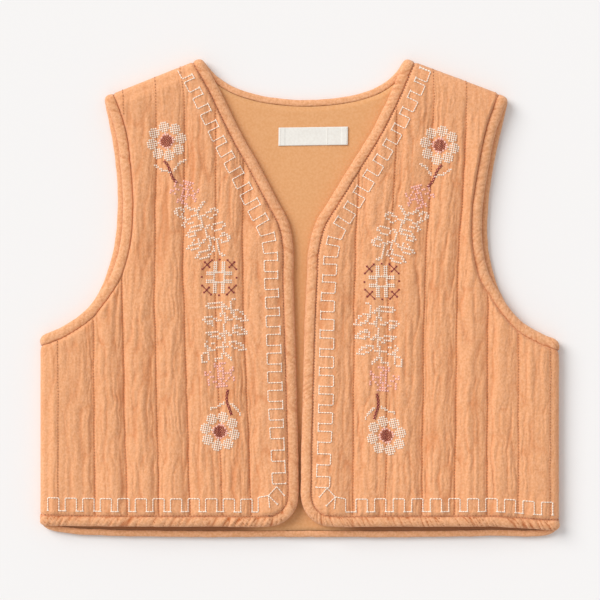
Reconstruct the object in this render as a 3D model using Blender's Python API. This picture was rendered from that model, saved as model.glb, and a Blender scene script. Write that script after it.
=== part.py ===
"""Child's quilted waistcoat, open in front, laid flat on its back with the face up.

Every cloth piece is its own closed solid: two quilted fronts, the back, the back's lining, the
neck label and the bindings folded round the raw edges. The cloth is worked out flat, as
distances out from the centre line and up from the back hem, and then laid: front and back turn
into each other round a soft fold at each side and at each shoulder.

Lengths here are in millimetres and the finished meshes are in metres. X is to the wearer's left,
Y is towards the neck, Z is up from the surface that the back lies on.
"""

from collections import namedtuple

import bmesh
import bpy
import numpy as np
from mathutils.geometry import delaunay_2d_cdt

MM = 0.001

# Whole garment
HALF_WIDTH = 186.8
MIDDLE_HEIGHT = 172.25
FRONT_HEM_RISE = 8.2

# Cloth walls, and the gap that two pieces keep at a seam
SEAM_GAP = 0.3
BOUND_WALL = 1.8
SEAM_WALL = 3.2
QUILT_WALL = 1.9
QUILT_PUFF = 2.6
LINING_WALL = 1.0

# The soft fold at the sides and the shoulders
FOLD_HOLLOW = 1.7
FOLD_RADIUS = FOLD_HOLLOW + SEAM_WALL
FOLD_HEIGHT = SEAM_GAP / 2 + FOLD_RADIUS
FOLD_STEPS = 3

# Binding, measured inwards from the finished edge
BINDING_WIDTH = 7.2
BINDING_INNER_WIDTH = 4.6
BINDING_WALL = 1.1
PANEL_SETBACK = BINDING_WALL + SEAM_GAP
DITCH = BINDING_WIDTH + SEAM_GAP
DITCH_SLOPE = 5.5
RIM_DEPTHS = (PANEL_SETBACK, DITCH, DITCH + DITCH_SLOPE / 2)

# Where the front hem stands up off the back
MOUTH_LIFT = 2.6
MOUTH_LENGTH = 75.0
MOUTH_SIDE_START = 120.0
MOUTH_SIDE_LENGTH = 52.0

# How the garment was laid: the upper part leans to the left, one side sits lower
LEAN = 4.6
LEAN_START = 165.0
LEAN_LENGTH = 145.0
TOP_LEAN = 1.8
TOP_LEAN_START = 315.0
TOP_LEAN_LENGTH = 33.0
SIDE_DROP = 3.4
SIDE_DROP_START = 135.0
SIDE_DROP_LENGTH_AT_HEM = 52.0
SIDE_DROP_LENGTH_AT_ARMHOLE = 28.0

# Mesh spacing
STATION_STEP = 10.0
BEND_WEIGHT = 22.0
SKEW_LENGTH = 16.0
ROW_STEP = 12.0
INNER_STEP = 24.0
CHANNEL_STEPS = (0.0, 0.1, 0.28, 0.5, 0.72, 0.9)

Spot = namedtuple("Spot", "out up")

# Outlines of the finished edges on the wearer's left half, each row one spot of the edge
NECK_END = Spot(73.0, 345.2)
SHOULDER_TIP = Spot(146.0, 317.0)
ARMHOLE_CORNER = Spot(HALF_WIDTH, 145.5)
HEM_CORNER = Spot(HALF_WIDTH, 8.8)
FRONT_EDGE = (
    NECK_END,
    Spot(60.4, 319.0),
    Spot(46.2, 290.5),
    Spot(32.5, 267.5),
    Spot(18.7, 243.0),
    Spot(10.0, 227.6),
    Spot(6.0, 212.0),
    Spot(4.7, 184.0),
    Spot(3.7, 158.0),
    Spot(1.9, 94.0),
    Spot(0.8, 43.0),
)
FRONT_CORNER_RADIUS = 22.0
FRONT_HEM = (
    Spot(60.0, FRONT_HEM_RISE - 0.2),
    Spot(110.0, FRONT_HEM_RISE - 0.2),
    Spot(155.0, FRONT_HEM_RISE),
    HEM_CORNER,
)
BACK_NECK = (
    NECK_END,
    Spot(64.0, 333.2),
    Spot(53.0, 325.3),
    Spot(38.5, 319.9),
    Spot(20.0, 316.5),
    Spot(0.0, 315.3),
)
BACK_HEM = (
    Spot(0.0, 0.0),
    Spot(100.0, 0.1),
    Spot(140.0, 1.0),
    Spot(165.0, 2.5),
    Spot(180.0, 5.2),
    HEM_CORNER,
)
FRONT_ARMHOLE = (
    ARMHOLE_CORNER,
    Spot(168.5, 153.2),
    Spot(154.1, 163.8),
    Spot(144.6, 175.5),
    Spot(136.4, 189.0),
    Spot(131.2, 207.0),
    Spot(129.4, 236.0),
    Spot(132.4, 266.0),
    Spot(137.4, 294.0),
    SHOULDER_TIP,
)
BACK_ARMHOLE = (
    ARMHOLE_CORNER,
    Spot(168.5, 153.2),
    Spot(154.1, 163.8),
    Spot(145.6, 175.5),
    Spot(139.7, 189.7),
    Spot(135.2, 208.0),
    Spot(133.6, 236.0),
    Spot(136.6, 270.0),
    Spot(141.6, 297.0),
    SHOULDER_TIP,
)

# Quilting lines: distance from the centre line at the hem, and how far the line opens outwards
# for each metre up, on the wearer's right front and left front
QuiltLine = namedtuple("QuiltLine", "right_out right_opens left_out left_opens")
QUILT_LINES = (
    QuiltLine(8.0, 0.0, 8.0, 0.0),
    QuiltLine(34.4, 39.0, 38.6, 18.0),
    QuiltLine(55.3, 34.0, 61.4, 14.0),
    QuiltLine(79.7, 27.0, 89.5, 5.0),
    QuiltLine(102.8, 23.0, 112.5, 9.0),
    QuiltLine(125.1, 25.0, 135.5, 0.0),
    QuiltLine(148.9, 0.0, 157.1, 0.0),
    QuiltLine(173.8, 0.0, 180.2, 0.0),
    QuiltLine(198.0, 0.0, 203.0, 0.0),
)

# Neck label, sewn on the lining
LABEL_WIDTH = 50.0
LABEL_HEIGHT = 13.2
LABEL_WALL = 1.0
LABEL_CENTRE = Spot(5.4, 289.0)
LABEL_TILT = 0.014
LABEL_CORNER = 1.0

# Binding section: inwards from the finished edge, and outwards from the cloth's inner face
Corner = namedtuple("Corner", "inward outward")
BINDING_SECTION = (
    Corner(BINDING_WIDTH, BOUND_WALL + SEAM_GAP),
    Corner(BINDING_WIDTH, SEAM_WALL - 0.5),
    Corner(BINDING_WIDTH - 0.9, SEAM_WALL),
    Corner(3.0, SEAM_WALL),
    Corner(1.1, SEAM_WALL - 0.45),
    Corner(0.2, SEAM_WALL - 1.4),
    Corner(0.0, 0.8),
    Corner(0.4, -0.5),
    Corner(1.5, -1.2),
    Corner(BINDING_INNER_WIDTH, -SEAM_GAP - 1.0),
    Corner(BINDING_INNER_WIDTH, -SEAM_GAP),
    Corner(BINDING_WALL, -SEAM_GAP),
    Corner(BINDING_WALL, BOUND_WALL + SEAM_GAP),
)

FRONT = 1
BACK = -1
WEARERS_LEFT = 1
WEARERS_RIGHT = -1

Fold = namedtuple("Fold", "normal distance")
Edge = namedtuple("Edge", "spots inward")
Finish = namedtuple("Finish", "name colour roughness")

DOUBLE_GAUZE = Finish("apricot double gauze", (0.79, 0.44, 0.23, 1.0), 0.85)
BINDING_GAUZE = Finish("bias binding", (0.76, 0.40, 0.20, 1.0), 0.85)
LINING_COTTON = Finish("ochre cotton lining", (0.66, 0.36, 0.15, 1.0), 0.8)
WOVEN_LABEL = Finish("woven label", (0.87, 0.84, 0.78, 1.0), 0.6)


def clear_scene():
    """Remove every object that the opened file holds."""
    for leftover in list(bpy.data.objects):
        bpy.data.objects.remove(leftover, do_unlink=True)


def ease(value):
    """Rise softly from 0 to 1 as value goes from 0 to 1, and stay there outside."""
    value = np.clip(value, 0.0, 1.0)
    return value * value * (3.0 - 2.0 * value)


def fold_through(first, second):
    """The fold line through two spots, with its normal pointing away from the cloth."""
    run = np.array(second) - np.array(first)
    normal = np.array((-run[1], run[0])) / np.hypot(*run)
    if normal[1] < 0.0:
        normal = -normal
    return Fold(normal, float(normal @ np.array(first)))


SIDE_FOLD = Fold(np.array((1.0, 0.0)), HALF_WIDTH)
SHOULDER_FOLD = fold_through(NECK_END, SHOULDER_TIP)
FOLD_DEPTHS = [FOLD_RADIUS * step / FOLD_STEPS for step in range(FOLD_STEPS + 1)]
END_DEPTHS = FOLD_DEPTHS + [FOLD_RADIUS + SEAM_GAP]
END_STATIONS = len(END_DEPTHS)


def past_fold(fold, spots):
    """How far flat spots lie past the fold line, negative on the cloth."""
    halves = np.stack((np.abs(spots[:, 0]), spots[:, 1]), axis=1)
    return halves @ fold.normal - fold.distance


def lay(places):
    """Lean the laid garment's upper part and let its left side slip down, in millimetres."""
    out, up, height = places.T
    lean = LEAN * ease((up - LEAN_START) / LEAN_LENGTH)
    lean -= TOP_LEAN * ease((up - TOP_LEAN_START) / TOP_LEAN_LENGTH)
    length = SIDE_DROP_LENGTH_AT_HEM + ease(up / ARMHOLE_CORNER.up) * (
        SIDE_DROP_LENGTH_AT_ARMHOLE - SIDE_DROP_LENGTH_AT_HEM
    )
    drop = SIDE_DROP * ease((out - SIDE_DROP_START) / length)
    return np.stack((out + lean, up - drop - MIDDLE_HEIGHT, height), axis=1)


def place(spots, outward, layer):
    """Lay flat spots of the front or the back, each moved outwards from its inner face.

    Near a fold the cloth turns a quarter round the fold's hollow, so that front and back meet
    edge to edge halfway up. The front also stands off the back in the mouth of the hem.
    """
    spots = np.asarray(spots, dtype=float)
    out, up = spots.T.copy()
    side = np.where(out < 0.0, -1.0, 1.0)
    reach = FOLD_HOLLOW + outward
    height = reach * np.ones(len(spots))
    for fold in (SIDE_FOLD, SHOULDER_FOLD):
        into = past_fold(fold, spots) + FOLD_RADIUS
        turn = np.clip(into / FOLD_RADIUS, 0.0, 1.0) * np.pi / 2
        shift = np.where(into > 0.0, reach * np.sin(turn) - into, 0.0)
        out += side * fold.normal[0] * shift
        up += fold.normal[1] * shift
        height = np.where(into > 0.0, reach * np.cos(turn), height)
    height = FOLD_HEIGHT + layer * (SEAM_GAP / 2 + height)
    if layer == FRONT:
        lift = ease(1.0 - (up - FRONT_HEM_RISE) / MOUTH_LENGTH)
        lift *= 1.0 - ease((np.abs(out) - MOUTH_SIDE_START) / MOUTH_SIDE_LENGTH)
        height = height + MOUTH_LIFT * lift
    return lay(np.stack((out, up, height), axis=1))


def smooth_curve(rows, per_span=24):
    """A smooth curve through the rows, as many close points with their tangents."""
    points = np.array(rows, dtype=float)
    chord = np.append(0.0, np.cumsum(np.hypot(*np.diff(points, axis=0).T)))
    slope = np.gradient(points, chord, axis=0, edge_order=2)
    span = np.diff(chord)[:, None, None]
    part = (np.arange(per_span) / per_span)[None, :, None]
    start, end = points[:-1, None, :], points[1:, None, :]
    start_slope, end_slope = slope[:-1, None, :] * span, slope[1:, None, :] * span
    curve = (
        (2 * part**3 - 3 * part**2 + 1) * start
        + (part**3 - 2 * part**2 + part) * start_slope
        + (3 * part**2 - 2 * part**3) * end
        + (part**3 - part**2) * end_slope
    )
    return np.vstack((curve.reshape(-1, 2), points[-1:]))


def edge_along(rows, start_fold, end_fold):
    """The finished edge through the rows, with the cloth on its left, from fold to fold.

    Stations are closer where the edge bends, and lie at fixed depths from the fold at each end.
    There the way inwards is skewed to run along the fold, so that pieces end on one line.
    """
    curve = smooth_curve(rows)
    along = np.append(0.0, np.cumsum(np.hypot(*np.diff(curve, axis=0).T)))
    tangent = np.gradient(curve, along, axis=0)
    tangent /= np.hypot(*tangent.T)[:, None]
    bend = np.abs(np.gradient(np.unwrap(np.arctan2(tangent[:, 1], tangent[:, 0])), along))

    near_start = along < 4 * FOLD_RADIUS
    near_end = along > along[-1] - 4 * FOLD_RADIUS
    first = np.interp(END_DEPTHS, -past_fold(start_fold, curve)[near_start], along[near_start])
    last = np.interp(
        END_DEPTHS, -past_fold(end_fold, curve)[near_end][::-1], along[near_end][::-1]
    )[::-1]
    effort = np.append(0.0, np.cumsum(np.diff(along) * (1.0 + BEND_WEIGHT * bend[1:])))
    effort_start, effort_end = np.interp((first[-1], last[0]), along, effort)
    steps = int(np.ceil((effort_end - effort_start) / STATION_STEP))
    between = np.interp(
        np.linspace(effort_start, effort_end, steps + 1)[1:-1], effort, along
    )
    stations = np.concatenate((first, between, last))

    spots = np.stack([np.interp(stations, along, axis) for axis in curve.T], axis=1)
    ahead = np.stack([np.interp(stations, along, axis) for axis in tangent.T], axis=1)
    normal = np.stack((-ahead[:, 1], ahead[:, 0]), axis=1)
    skew = np.zeros(len(stations))
    ends = ((start_fold, stations - first[-1], slice(0, len(first))),
            (end_fold, last[0] - stations, slice(-len(last), None)))
    for fold, away, held in ends:
        facing = fold.normal * np.where(spots[held, :1] < 0.0, (-1.0, 1.0), (1.0, 1.0))
        held_skew = -(facing * normal[held]).sum(1) / (facing * ahead[held]).sum(1)
        inner = held_skew[-1] if away[0] < 0.0 else held_skew[0]
        fade = np.clip(1.0 - np.maximum(away, 0.0) / SKEW_LENGTH, 0.0, 1.0) ** 2
        skew = skew + inner * np.where(away > 0.0, fade, 0.0)
        skew[held] = held_skew
    return Edge(spots, normal + skew[:, None] * ahead)


def mirrored_edge(edge):
    """The same edge on the other half, still with the cloth on its left."""
    flip = np.array((-1.0, 1.0))
    return Edge((edge.spots * flip)[::-1], (edge.inward * flip)[::-1])


def mirrored_rows(rows):
    """Rows of an edge on the other half, in the opposite order."""
    return [Spot(-row.out, row.up) for row in reversed(rows)]


def inside(edge, depth):
    """The line that lies at a depth inwards from a finished edge."""
    return edge.spots + edge.inward * depth


def front_edge():
    """A front's whole finished edge: neck, front, round corner and hem, shoulder to side."""
    lowest = FRONT_EDGE[-1].out
    centre = Spot(lowest + FRONT_CORNER_RADIUS, FRONT_HEM_RISE + FRONT_CORNER_RADIUS)
    turns = np.radians(np.linspace(180.0, 270.0, 5))
    corner = [
        Spot(
            centre.out + FRONT_CORNER_RADIUS * np.cos(turn),
            centre.up + FRONT_CORNER_RADIUS * np.sin(turn),
        )
        for turn in turns
    ]
    rows = FRONT_EDGE + tuple(corner) + FRONT_HEM
    return edge_along(rows, SHOULDER_FOLD, SIDE_FOLD)


def distance_to_edges(spots, edges):
    """The shortest distance from each spot to the edges, run on straight past their ends."""
    nearest = np.full(len(spots), np.inf)
    for edge in edges:
        line = edge.spots
        before, after = 2 * line[0] - line[END_STATIONS], 2 * line[-1] - line[-1 - END_STATIONS]
        line = np.vstack((before, line, after))
        start, run = line[:-1], np.diff(line, axis=0)
        towards = spots[:, None, :] - start[None, :, :]
        share = np.clip((towards * run).sum(2) / (run * run).sum(1), 0.0, 1.0)
        distance = np.linalg.norm(towards - share[:, :, None] * run, axis=2).min(1)
        nearest = np.minimum(nearest, distance)
    return nearest


class Surface:
    """One face of a panel: flat points with the lines that its triangles must keep."""

    def __init__(self, loop):
        self.points = [tuple(spot) for spot in loop]
        self.loop_size = len(loop)
        self.lines = [(i, (i + 1) % self.loop_size) for i in range(self.loop_size)]

    def add(self, spots, joined=False):
        """Add loose spots, or a line of them that the triangles follow."""
        first = len(self.points)
        self.points += [tuple(spot) for spot in spots]
        if joined:
            self.lines += [(first + i, first + i + 1) for i in range(len(spots) - 1)]

    def triangles(self):
        """Triangulate the face: its points, its triangles, and the loop's place in them."""
        found, _, faces, sources, _, _ = delaunay_2d_cdt(
            self.points, self.lines, [list(range(self.loop_size))], 1, 1e-4
        )
        place_of = {source: i for i, group in enumerate(sources) for source in group}
        return (
            np.array([tuple(point) for point in found]),
            [tuple(face) for face in faces],
            [place_of[i] for i in range(self.loop_size)],
        )


def fold_line(edge, following, step):
    """A line along the fold at one of its depths, from one edge's station to the next edge's."""
    start = [inside(edge, depth)[-1 - step] for depth in RIM_DEPTHS]
    end = [inside(following, depth)[step] for depth in reversed(RIM_DEPTHS)]
    length = np.hypot(*(end[0] - start[-1]))
    count = max(2, int(round(length / ROW_STEP)))
    shares = np.linspace(0.0, 1.0, count + 1)[:, None]
    between = start[-1] + shares * (end[0] - start[-1])
    return np.vstack((start[:-1], between, end[1:]))


def edge_pairs(panel_edges):
    """Each edge of a panel with the one that follows it across a fold."""
    return zip(panel_edges, panel_edges[1:] + panel_edges[:1])


def panel_loop(panel_edges):
    """A panel's outline under its bindings, joined by straight seams along the folds."""
    stretches = []
    for edge, following in edge_pairs(panel_edges):
        stretches.append(inside(edge, PANEL_SETBACK))
        stretches.append(fold_line(edge, following, 0)[1:-1])
    return np.vstack(stretches)


def make_object(name, places, faces, finish, collection):
    """Make a closed body with outward faces, in metres, with its own material."""
    mesh = bpy.data.meshes.new(name)
    body = bmesh.new()
    corners = [body.verts.new(tuple(place)) for place in np.asarray(places) * MM]
    for face in faces:
        body.faces.new([corners[i] for i in face])
    bmesh.ops.recalc_face_normals(body, faces=body.faces)
    body.to_mesh(mesh)
    body.free()
    mesh.shade_smooth()
    mesh.set_sharp_from_angle(angle=np.radians(45.0))

    material = bpy.data.materials.new(f"{finish.name} {name}")
    material.use_nodes = True
    shader = material.node_tree.nodes["Principled BSDF"]
    shader.inputs["Base Color"].default_value = finish.colour
    shader.inputs["Roughness"].default_value = finish.roughness
    shader.inputs["Metallic"].default_value = 0.0
    mesh.materials.append(material)

    piece = bpy.data.objects.new(name, mesh)
    collection.objects.link(piece)
    return piece


def panel(name, outer, inner, outer_wall, layer, finish, collection, side=WEARERS_LEFT):
    """Make a panel from its outer face, raised by its wall, and its plain inner face."""
    outer_spots, outer_faces, outer_loop = outer.triangles()
    inner_spots, inner_faces, inner_loop = inner.triangles()
    flip = np.array((side, 1.0))
    outer_places = place(outer_spots * flip, outer_wall(outer_spots), layer)
    inner_places = place(inner_spots * flip, np.zeros(len(inner_spots)), layer)
    shift = len(outer_places)
    faces = list(outer_faces)
    faces += [tuple(shift + i for i in reversed(face)) for face in inner_faces]
    size = len(outer_loop)
    for i in range(size):
        after = (i + 1) % size
        faces.append(
            (outer_loop[after], outer_loop[i], shift + inner_loop[i], shift + inner_loop[after])
        )
    return make_object(name, np.vstack((outer_places, inner_places)), faces, finish, collection)


def add_fold_lines(edges, faces):
    """Give a panel's faces the lines along which they turn into the folds."""
    for edge, following in edge_pairs(edges):
        for step in range(1, len(FOLD_DEPTHS)):
            line = fold_line(edge, following, step)
            for face in faces:
                face.add(line, joined=True)


def quilt_lines(side):
    """One front's quilting lines: distance out at the hem, and how far they open upwards."""
    if side == WEARERS_LEFT:
        return [(line.left_out, line.left_opens * MM) for line in QUILT_LINES]
    return [(line.right_out, line.right_opens * MM) for line in QUILT_LINES]


def line_out(line, up):
    """How far out a quilting line lies at a height."""
    return line[0] + line[1] * (up - FRONT_HEM_RISE)


def front_wall(edges, side):
    """The function that gives a front's wall: puffed channels, thin at lines and bindings."""
    lines = quilt_lines(side)

    def wall(spots):
        out, up = spots.T
        positions = np.stack([line_out(line, up) for line in lines])
        channel = np.clip((out > positions).sum(0) - 1, 0, len(lines) - 2)
        start = np.take_along_axis(positions, channel[None], 0)[0]
        end = np.take_along_axis(positions, channel[None] + 1, 0)[0]
        across = np.clip((out - start) / (end - start), 0.0, 1.0)
        full = QUILT_WALL + QUILT_PUFF * np.sin(np.pi * across) ** 0.8
        to_fold = -np.maximum(past_fold(SIDE_FOLD, spots), past_fold(SHOULDER_FOLD, spots))
        seam_share = ease(1.0 - (to_fold - FOLD_RADIUS) / DITCH_SLOPE)
        full = full + seam_share * (SEAM_WALL - full)
        to_edge = distance_to_edges(spots, edges)
        return BOUND_WALL + (full - BOUND_WALL) * ease((to_edge - DITCH) / DITCH_SLOPE)

    return wall


def build_front(name, side, edges, collection):
    """A quilted front: channels raised on the outside over a plain inside."""
    loop = panel_loop(edges)
    outer = Surface(loop)
    inner = Surface(loop)
    for edge in edges:
        for depth in RIM_DEPTHS[1:]:
            outer.add(inside(edge, depth), joined=True)
    add_fold_lines(edges, (outer, inner))

    def clear_spots(spots, margin):
        """Keep the spots that lie on the cloth, a margin away from edges and folds."""
        to_edge = distance_to_edges(spots, edges)
        to_fold = -np.maximum(past_fold(SIDE_FOLD, spots), past_fold(SHOULDER_FOLD, spots))
        return spots[within(spots, loop) & (to_edge > margin) & (to_fold > FOLD_RADIUS + 2.0)]

    lines = quilt_lines(side)
    heights = np.arange(FRONT_HEM_RISE + DITCH, NECK_END.up, ROW_STEP)
    columns = []
    for first, second in zip(lines, lines[1:]):
        for share in CHANNEL_STEPS:
            out = line_out(first, heights) * (1.0 - share) + line_out(second, heights) * share
            columns.append(np.stack((out, heights), axis=1))
    outer.add(clear_spots(np.vstack(columns), DITCH + DITCH_SLOPE))
    across, upwards = np.meshgrid(
        np.arange(0.0, HALF_WIDTH, INNER_STEP), np.arange(0.0, NECK_END.up, INNER_STEP)
    )
    grid = np.stack((across.ravel(), upwards.ravel()), axis=1)
    inner.add(clear_spots(grid, DITCH + DITCH_SLOPE))
    return panel(
        name, outer, inner, front_wall(edges, side), FRONT, DOUBLE_GAUZE, collection, side
    )


def within(spots, loop):
    """Whether each flat spot lies inside a closed outline."""
    after = np.roll(loop, -1, axis=0)
    low, high = loop[None, :, 1] <= spots[:, 1:], after[None, :, 1] <= spots[:, 1:]
    run = (after[:, 0] - loop[:, 0]) / (after[:, 1] - loop[:, 1] + 1e-12)
    cross = loop[None, :, 0] + (spots[:, 1:] - loop[None, :, 1]) * run
    return ((low != high) & (cross > spots[:, :1])).sum(1) % 2 == 1


def build_back(edges, collection):
    """The back: flat on the surface it lies on, thinner where the bindings grip its edge."""
    loop = panel_loop(edges)
    outer = Surface(loop)
    inner = Surface(loop)
    for edge in edges:
        for depth in RIM_DEPTHS[1:]:
            outer.add(inside(edge, depth), joined=True)
    add_fold_lines(edges, (outer, inner))

    def wall(spots):
        to_edge = distance_to_edges(spots, edges)
        share = ease((to_edge - DITCH) / (DITCH_SLOPE / 2 - SEAM_GAP))
        return BOUND_WALL + (SEAM_WALL - BOUND_WALL) * share

    return panel("back", outer, inner, wall, BACK, DOUBLE_GAUZE, collection)


def flat_piece(name, loop, bottom, wall, finish, collection):
    """A flat piece with an outline, laid on what lies under it."""
    face = Surface(loop)
    spots, faces, order = face.triangles()
    heights = np.full(len(spots), bottom)
    low = lay(np.column_stack((spots, heights)))
    high = lay(np.column_stack((spots, heights + wall)))
    shift = len(spots)
    solid = [tuple(reversed(triangle)) for triangle in faces]
    solid += [tuple(shift + i for i in triangle) for triangle in faces]
    for i, corner in enumerate(order):
        after = order[(i + 1) % len(order)]
        solid.append((corner, after, shift + after, shift + corner))
    return make_object(name, np.vstack((low, high)), solid, finish, collection)


def build_lining(edges, collection):
    """The back's lining, from binding to binding and from fold to fold."""
    clear = slice(len(FOLD_DEPTHS), -len(FOLD_DEPTHS))
    loop = np.vstack([inside(edge, BINDING_INNER_WIDTH + SEAM_GAP)[clear] for edge in edges])
    bottom = SEAM_WALL + SEAM_GAP
    return flat_piece("back_lining", loop, bottom, LINING_WALL, LINING_COTTON, collection)


def build_label(collection):
    """The woven neck label: a flat strip with slightly blunt corners, turned a little."""
    half = np.array((LABEL_WIDTH, LABEL_HEIGHT)) / 2
    cut = half - LABEL_CORNER
    corners = [
        (-cut[0], -half[1]), (cut[0], -half[1]), (half[0], -cut[1]), (half[0], cut[1]),
        (cut[0], half[1]), (-cut[0], half[1]), (-half[0], cut[1]), (-half[0], -cut[1]),
    ]
    turn = np.array(
        ((np.cos(LABEL_TILT), -np.sin(LABEL_TILT)), (np.sin(LABEL_TILT), np.cos(LABEL_TILT)))
    )
    loop = np.array(corners) @ turn.T + np.array(LABEL_CENTRE)
    bottom = SEAM_WALL + LINING_WALL + 2 * SEAM_GAP
    return flat_piece("neck_label", loop, bottom, LABEL_WALL, WOVEN_LABEL, collection)


def binding_rings(edge, layer, side=WEARERS_LEFT):
    """The binding's section at every station of an edge, laid."""
    flip = np.array((side, 1.0))
    rings = []
    for corner in BINDING_SECTION:
        line = inside(edge, corner.inward) * flip
        rings.append(place(line, np.full(len(line), corner.outward), layer))
    return np.stack(rings, axis=1)


def build_binding(name, rings, closed, collection):
    """A strip folded round an edge: its rings joined in order, capped unless it closes."""
    count, size, _ = rings.shape
    faces = []
    for i in range(count if closed else count - 1):
        here, there = i * size, (i + 1) % count * size
        for j in range(size):
            after = (j + 1) % size
            faces.append((here + j, here + after, there + after, there + j))
    if not closed:
        faces.append(tuple(range(size)))
        faces.append(tuple((count - 1) * size + j for j in reversed(range(size))))
    places = rings.reshape(-1, 3)
    return make_object(name, places, faces, BINDING_GAUZE, collection)


def main():
    """Build the waistcoat's pieces in one collection."""
    clear_scene()
    waistcoat = bpy.data.collections.new("waistcoat")
    bpy.context.scene.collection.children.link(waistcoat)

    front = front_edge()
    front_armhole = edge_along(FRONT_ARMHOLE, SIDE_FOLD, SHOULDER_FOLD)
    back_armhole = edge_along(BACK_ARMHOLE, SIDE_FOLD, SHOULDER_FOLD)
    neck = edge_along(BACK_NECK + tuple(mirrored_rows(BACK_NECK)[1:]), SHOULDER_FOLD, SHOULDER_FOLD)
    hem = edge_along(tuple(mirrored_rows(BACK_HEM)) + BACK_HEM[1:], SIDE_FOLD, SIDE_FOLD)

    front_edges = [front, front_armhole]
    back_edges = [neck, mirrored_edge(back_armhole), hem, back_armhole]
    build_back(back_edges, waistcoat)
    build_lining(back_edges, waistcoat)
    build_label(waistcoat)
    build_binding("back_neck_binding", binding_rings(neck, BACK), False, waistcoat)
    build_binding("back_hem_binding", binding_rings(hem, BACK), False, waistcoat)
    for name, side in (("left", WEARERS_LEFT), ("right", WEARERS_RIGHT)):
        build_front(f"{name}_front", side, front_edges, waistcoat)
        strip = binding_rings(front, FRONT, side)
        build_binding(f"{name}_front_edge_binding", strip, False, waistcoat)
        upper = binding_rings(front_armhole, FRONT, side)
        lower = binding_rings(back_armhole, BACK, side)
        loop = np.vstack((upper, lower[::-1]))
        build_binding(f"{name}_armhole_binding", loop, True, waistcoat)


if __name__ == "__main__":
    main()
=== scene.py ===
"""The looks of a child's quilted and embroidered waistcoat, laid flat with its face up.

Every cloth piece is worked out flat, in millimetres, as distances out from the centre line and up
from the back hem, and is then laid as the solids are: front and back turn into each other round a
soft fold at each side and at each shoulder. X is to the wearer's left, Y towards the neck, Z up.
"""

import logging
from collections.abc import Callable
from dataclasses import dataclass, field
from enum import Enum
from functools import cached_property
from typing import NamedTuple

import bpy
import numpy as np
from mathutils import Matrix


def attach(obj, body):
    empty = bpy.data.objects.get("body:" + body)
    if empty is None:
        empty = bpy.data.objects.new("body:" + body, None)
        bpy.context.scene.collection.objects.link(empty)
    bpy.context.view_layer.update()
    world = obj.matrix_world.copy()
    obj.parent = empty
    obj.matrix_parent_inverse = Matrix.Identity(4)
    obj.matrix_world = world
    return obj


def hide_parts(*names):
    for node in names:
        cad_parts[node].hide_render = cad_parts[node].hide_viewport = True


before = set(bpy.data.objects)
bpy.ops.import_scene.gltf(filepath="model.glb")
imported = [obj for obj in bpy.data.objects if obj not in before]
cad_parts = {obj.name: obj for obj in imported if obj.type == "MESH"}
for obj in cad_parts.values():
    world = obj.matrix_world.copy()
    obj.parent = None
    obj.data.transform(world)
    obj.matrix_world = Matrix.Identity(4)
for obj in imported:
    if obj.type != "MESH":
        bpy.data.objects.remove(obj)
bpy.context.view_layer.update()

log = logging.getLogger("waistcoat")

Array = np.ndarray
Pair = tuple[float, float]
Line = tuple[Pair, ...]
Material = bpy.types.Material
Tree = bpy.types.NodeTree
Socket = bpy.types.NodeSocket
MM = 0.001
BODY = "root"


class Layer(Enum):
    """Which half of the laid garment a piece belongs to, as the sign of its outward height."""

    FRONT = 1
    BACK = -1


class Side(Enum):
    """One of the two fronts, as the sign of its distance out from the centre line."""

    WEARERS_LEFT = 1
    WEARERS_RIGHT = -1

    @property
    def word(self) -> str:
        """The side's word in the names of pieces and nodes."""
        return "left" if self is Side.WEARERS_LEFT else "right"


class Spot(NamedTuple):
    """A flat place on the cloth, in millimetres."""

    out: float
    up: float


def ease(value: Array) -> Array:
    """Rise softly from 0 to 1 as value goes from 0 to 1, by 3v^2 - 2v^3."""
    value = np.clip(value, 0.0, 1.0)
    return value * value * (3.0 - 2.0 * value)


def soft_noise(across: Array, along: Array, seed: int) -> Array:
    """Smooth random values between -1 and 1.

    A square lattice holds random values a unit apart, and each place takes the mix of its four
    neighbours, with weights that ease from one to the next.

    Args:
        across: First coordinate of each place, in lattice steps.
        along: Second coordinate of each place, in lattice steps.
        seed: Which lattice to use.

    Returns:
        One value for each place.
    """
    size = 256
    lattice = np.random.default_rng(seed).uniform(-1.0, 1.0, (size, size))
    column, row = np.floor(across).astype(int), np.floor(along).astype(int)
    right, upper = ease(across - column), ease(along - row)
    column, row = column % size, row % size
    after, above = (column + 1) % size, (row + 1) % size
    low = lattice[column, row] * (1.0 - right) + lattice[after, row] * right
    high = lattice[column, above] * (1.0 - right) + lattice[after, above] * right
    return low * (1.0 - upper) + high * upper


class Noise(NamedTuple):
    """A smooth noise: its height, its size along each of two coordinates, and its lattice."""

    height: float
    across: float
    along: float
    lattice: int

    def at(self, out: Array, up: Array, seed: int = 0) -> Array:
        """Its value at each pair of coordinates, for a piece whose lattices start at a seed."""
        return self.height * soft_noise(out / self.across, up / self.along, self.lattice + seed)


def run_along(line: Array) -> Array:
    """How far along a line of straight runs each of its points lies."""
    return np.append(0.0, np.cumsum(np.hypot(*np.diff(line, axis=0).T)))


def points_at(wanted: Array, at: Array, line: Array) -> Array:
    """Points of a line at the wanted runs, straight between its own points."""
    return np.stack([np.interp(wanted, at, axis) for axis in line.T], axis=1)


@dataclass(frozen=True)
class Fold:
    """A straight line round which the front turns into the back."""

    normal: Array
    distance: float

    @classmethod
    def through(cls, first: Spot, second: Spot) -> "Fold":
        """The fold through two spots, with its normal pointing away from the cloth."""
        run = np.array(second) - np.array(first)
        normal = np.array((-run[1], run[0])) / np.hypot(*run)
        normal = normal if normal[1] >= 0.0 else -normal
        return cls(normal, float(normal @ np.array(first)))

    def past(self, spots: Array) -> Array:
        """How far flat spots lie past the fold, negative on the cloth."""
        halves = np.stack((np.abs(spots[:, 0]), spots[:, 1]), axis=1)
        return halves @ self.normal - self.distance


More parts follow.
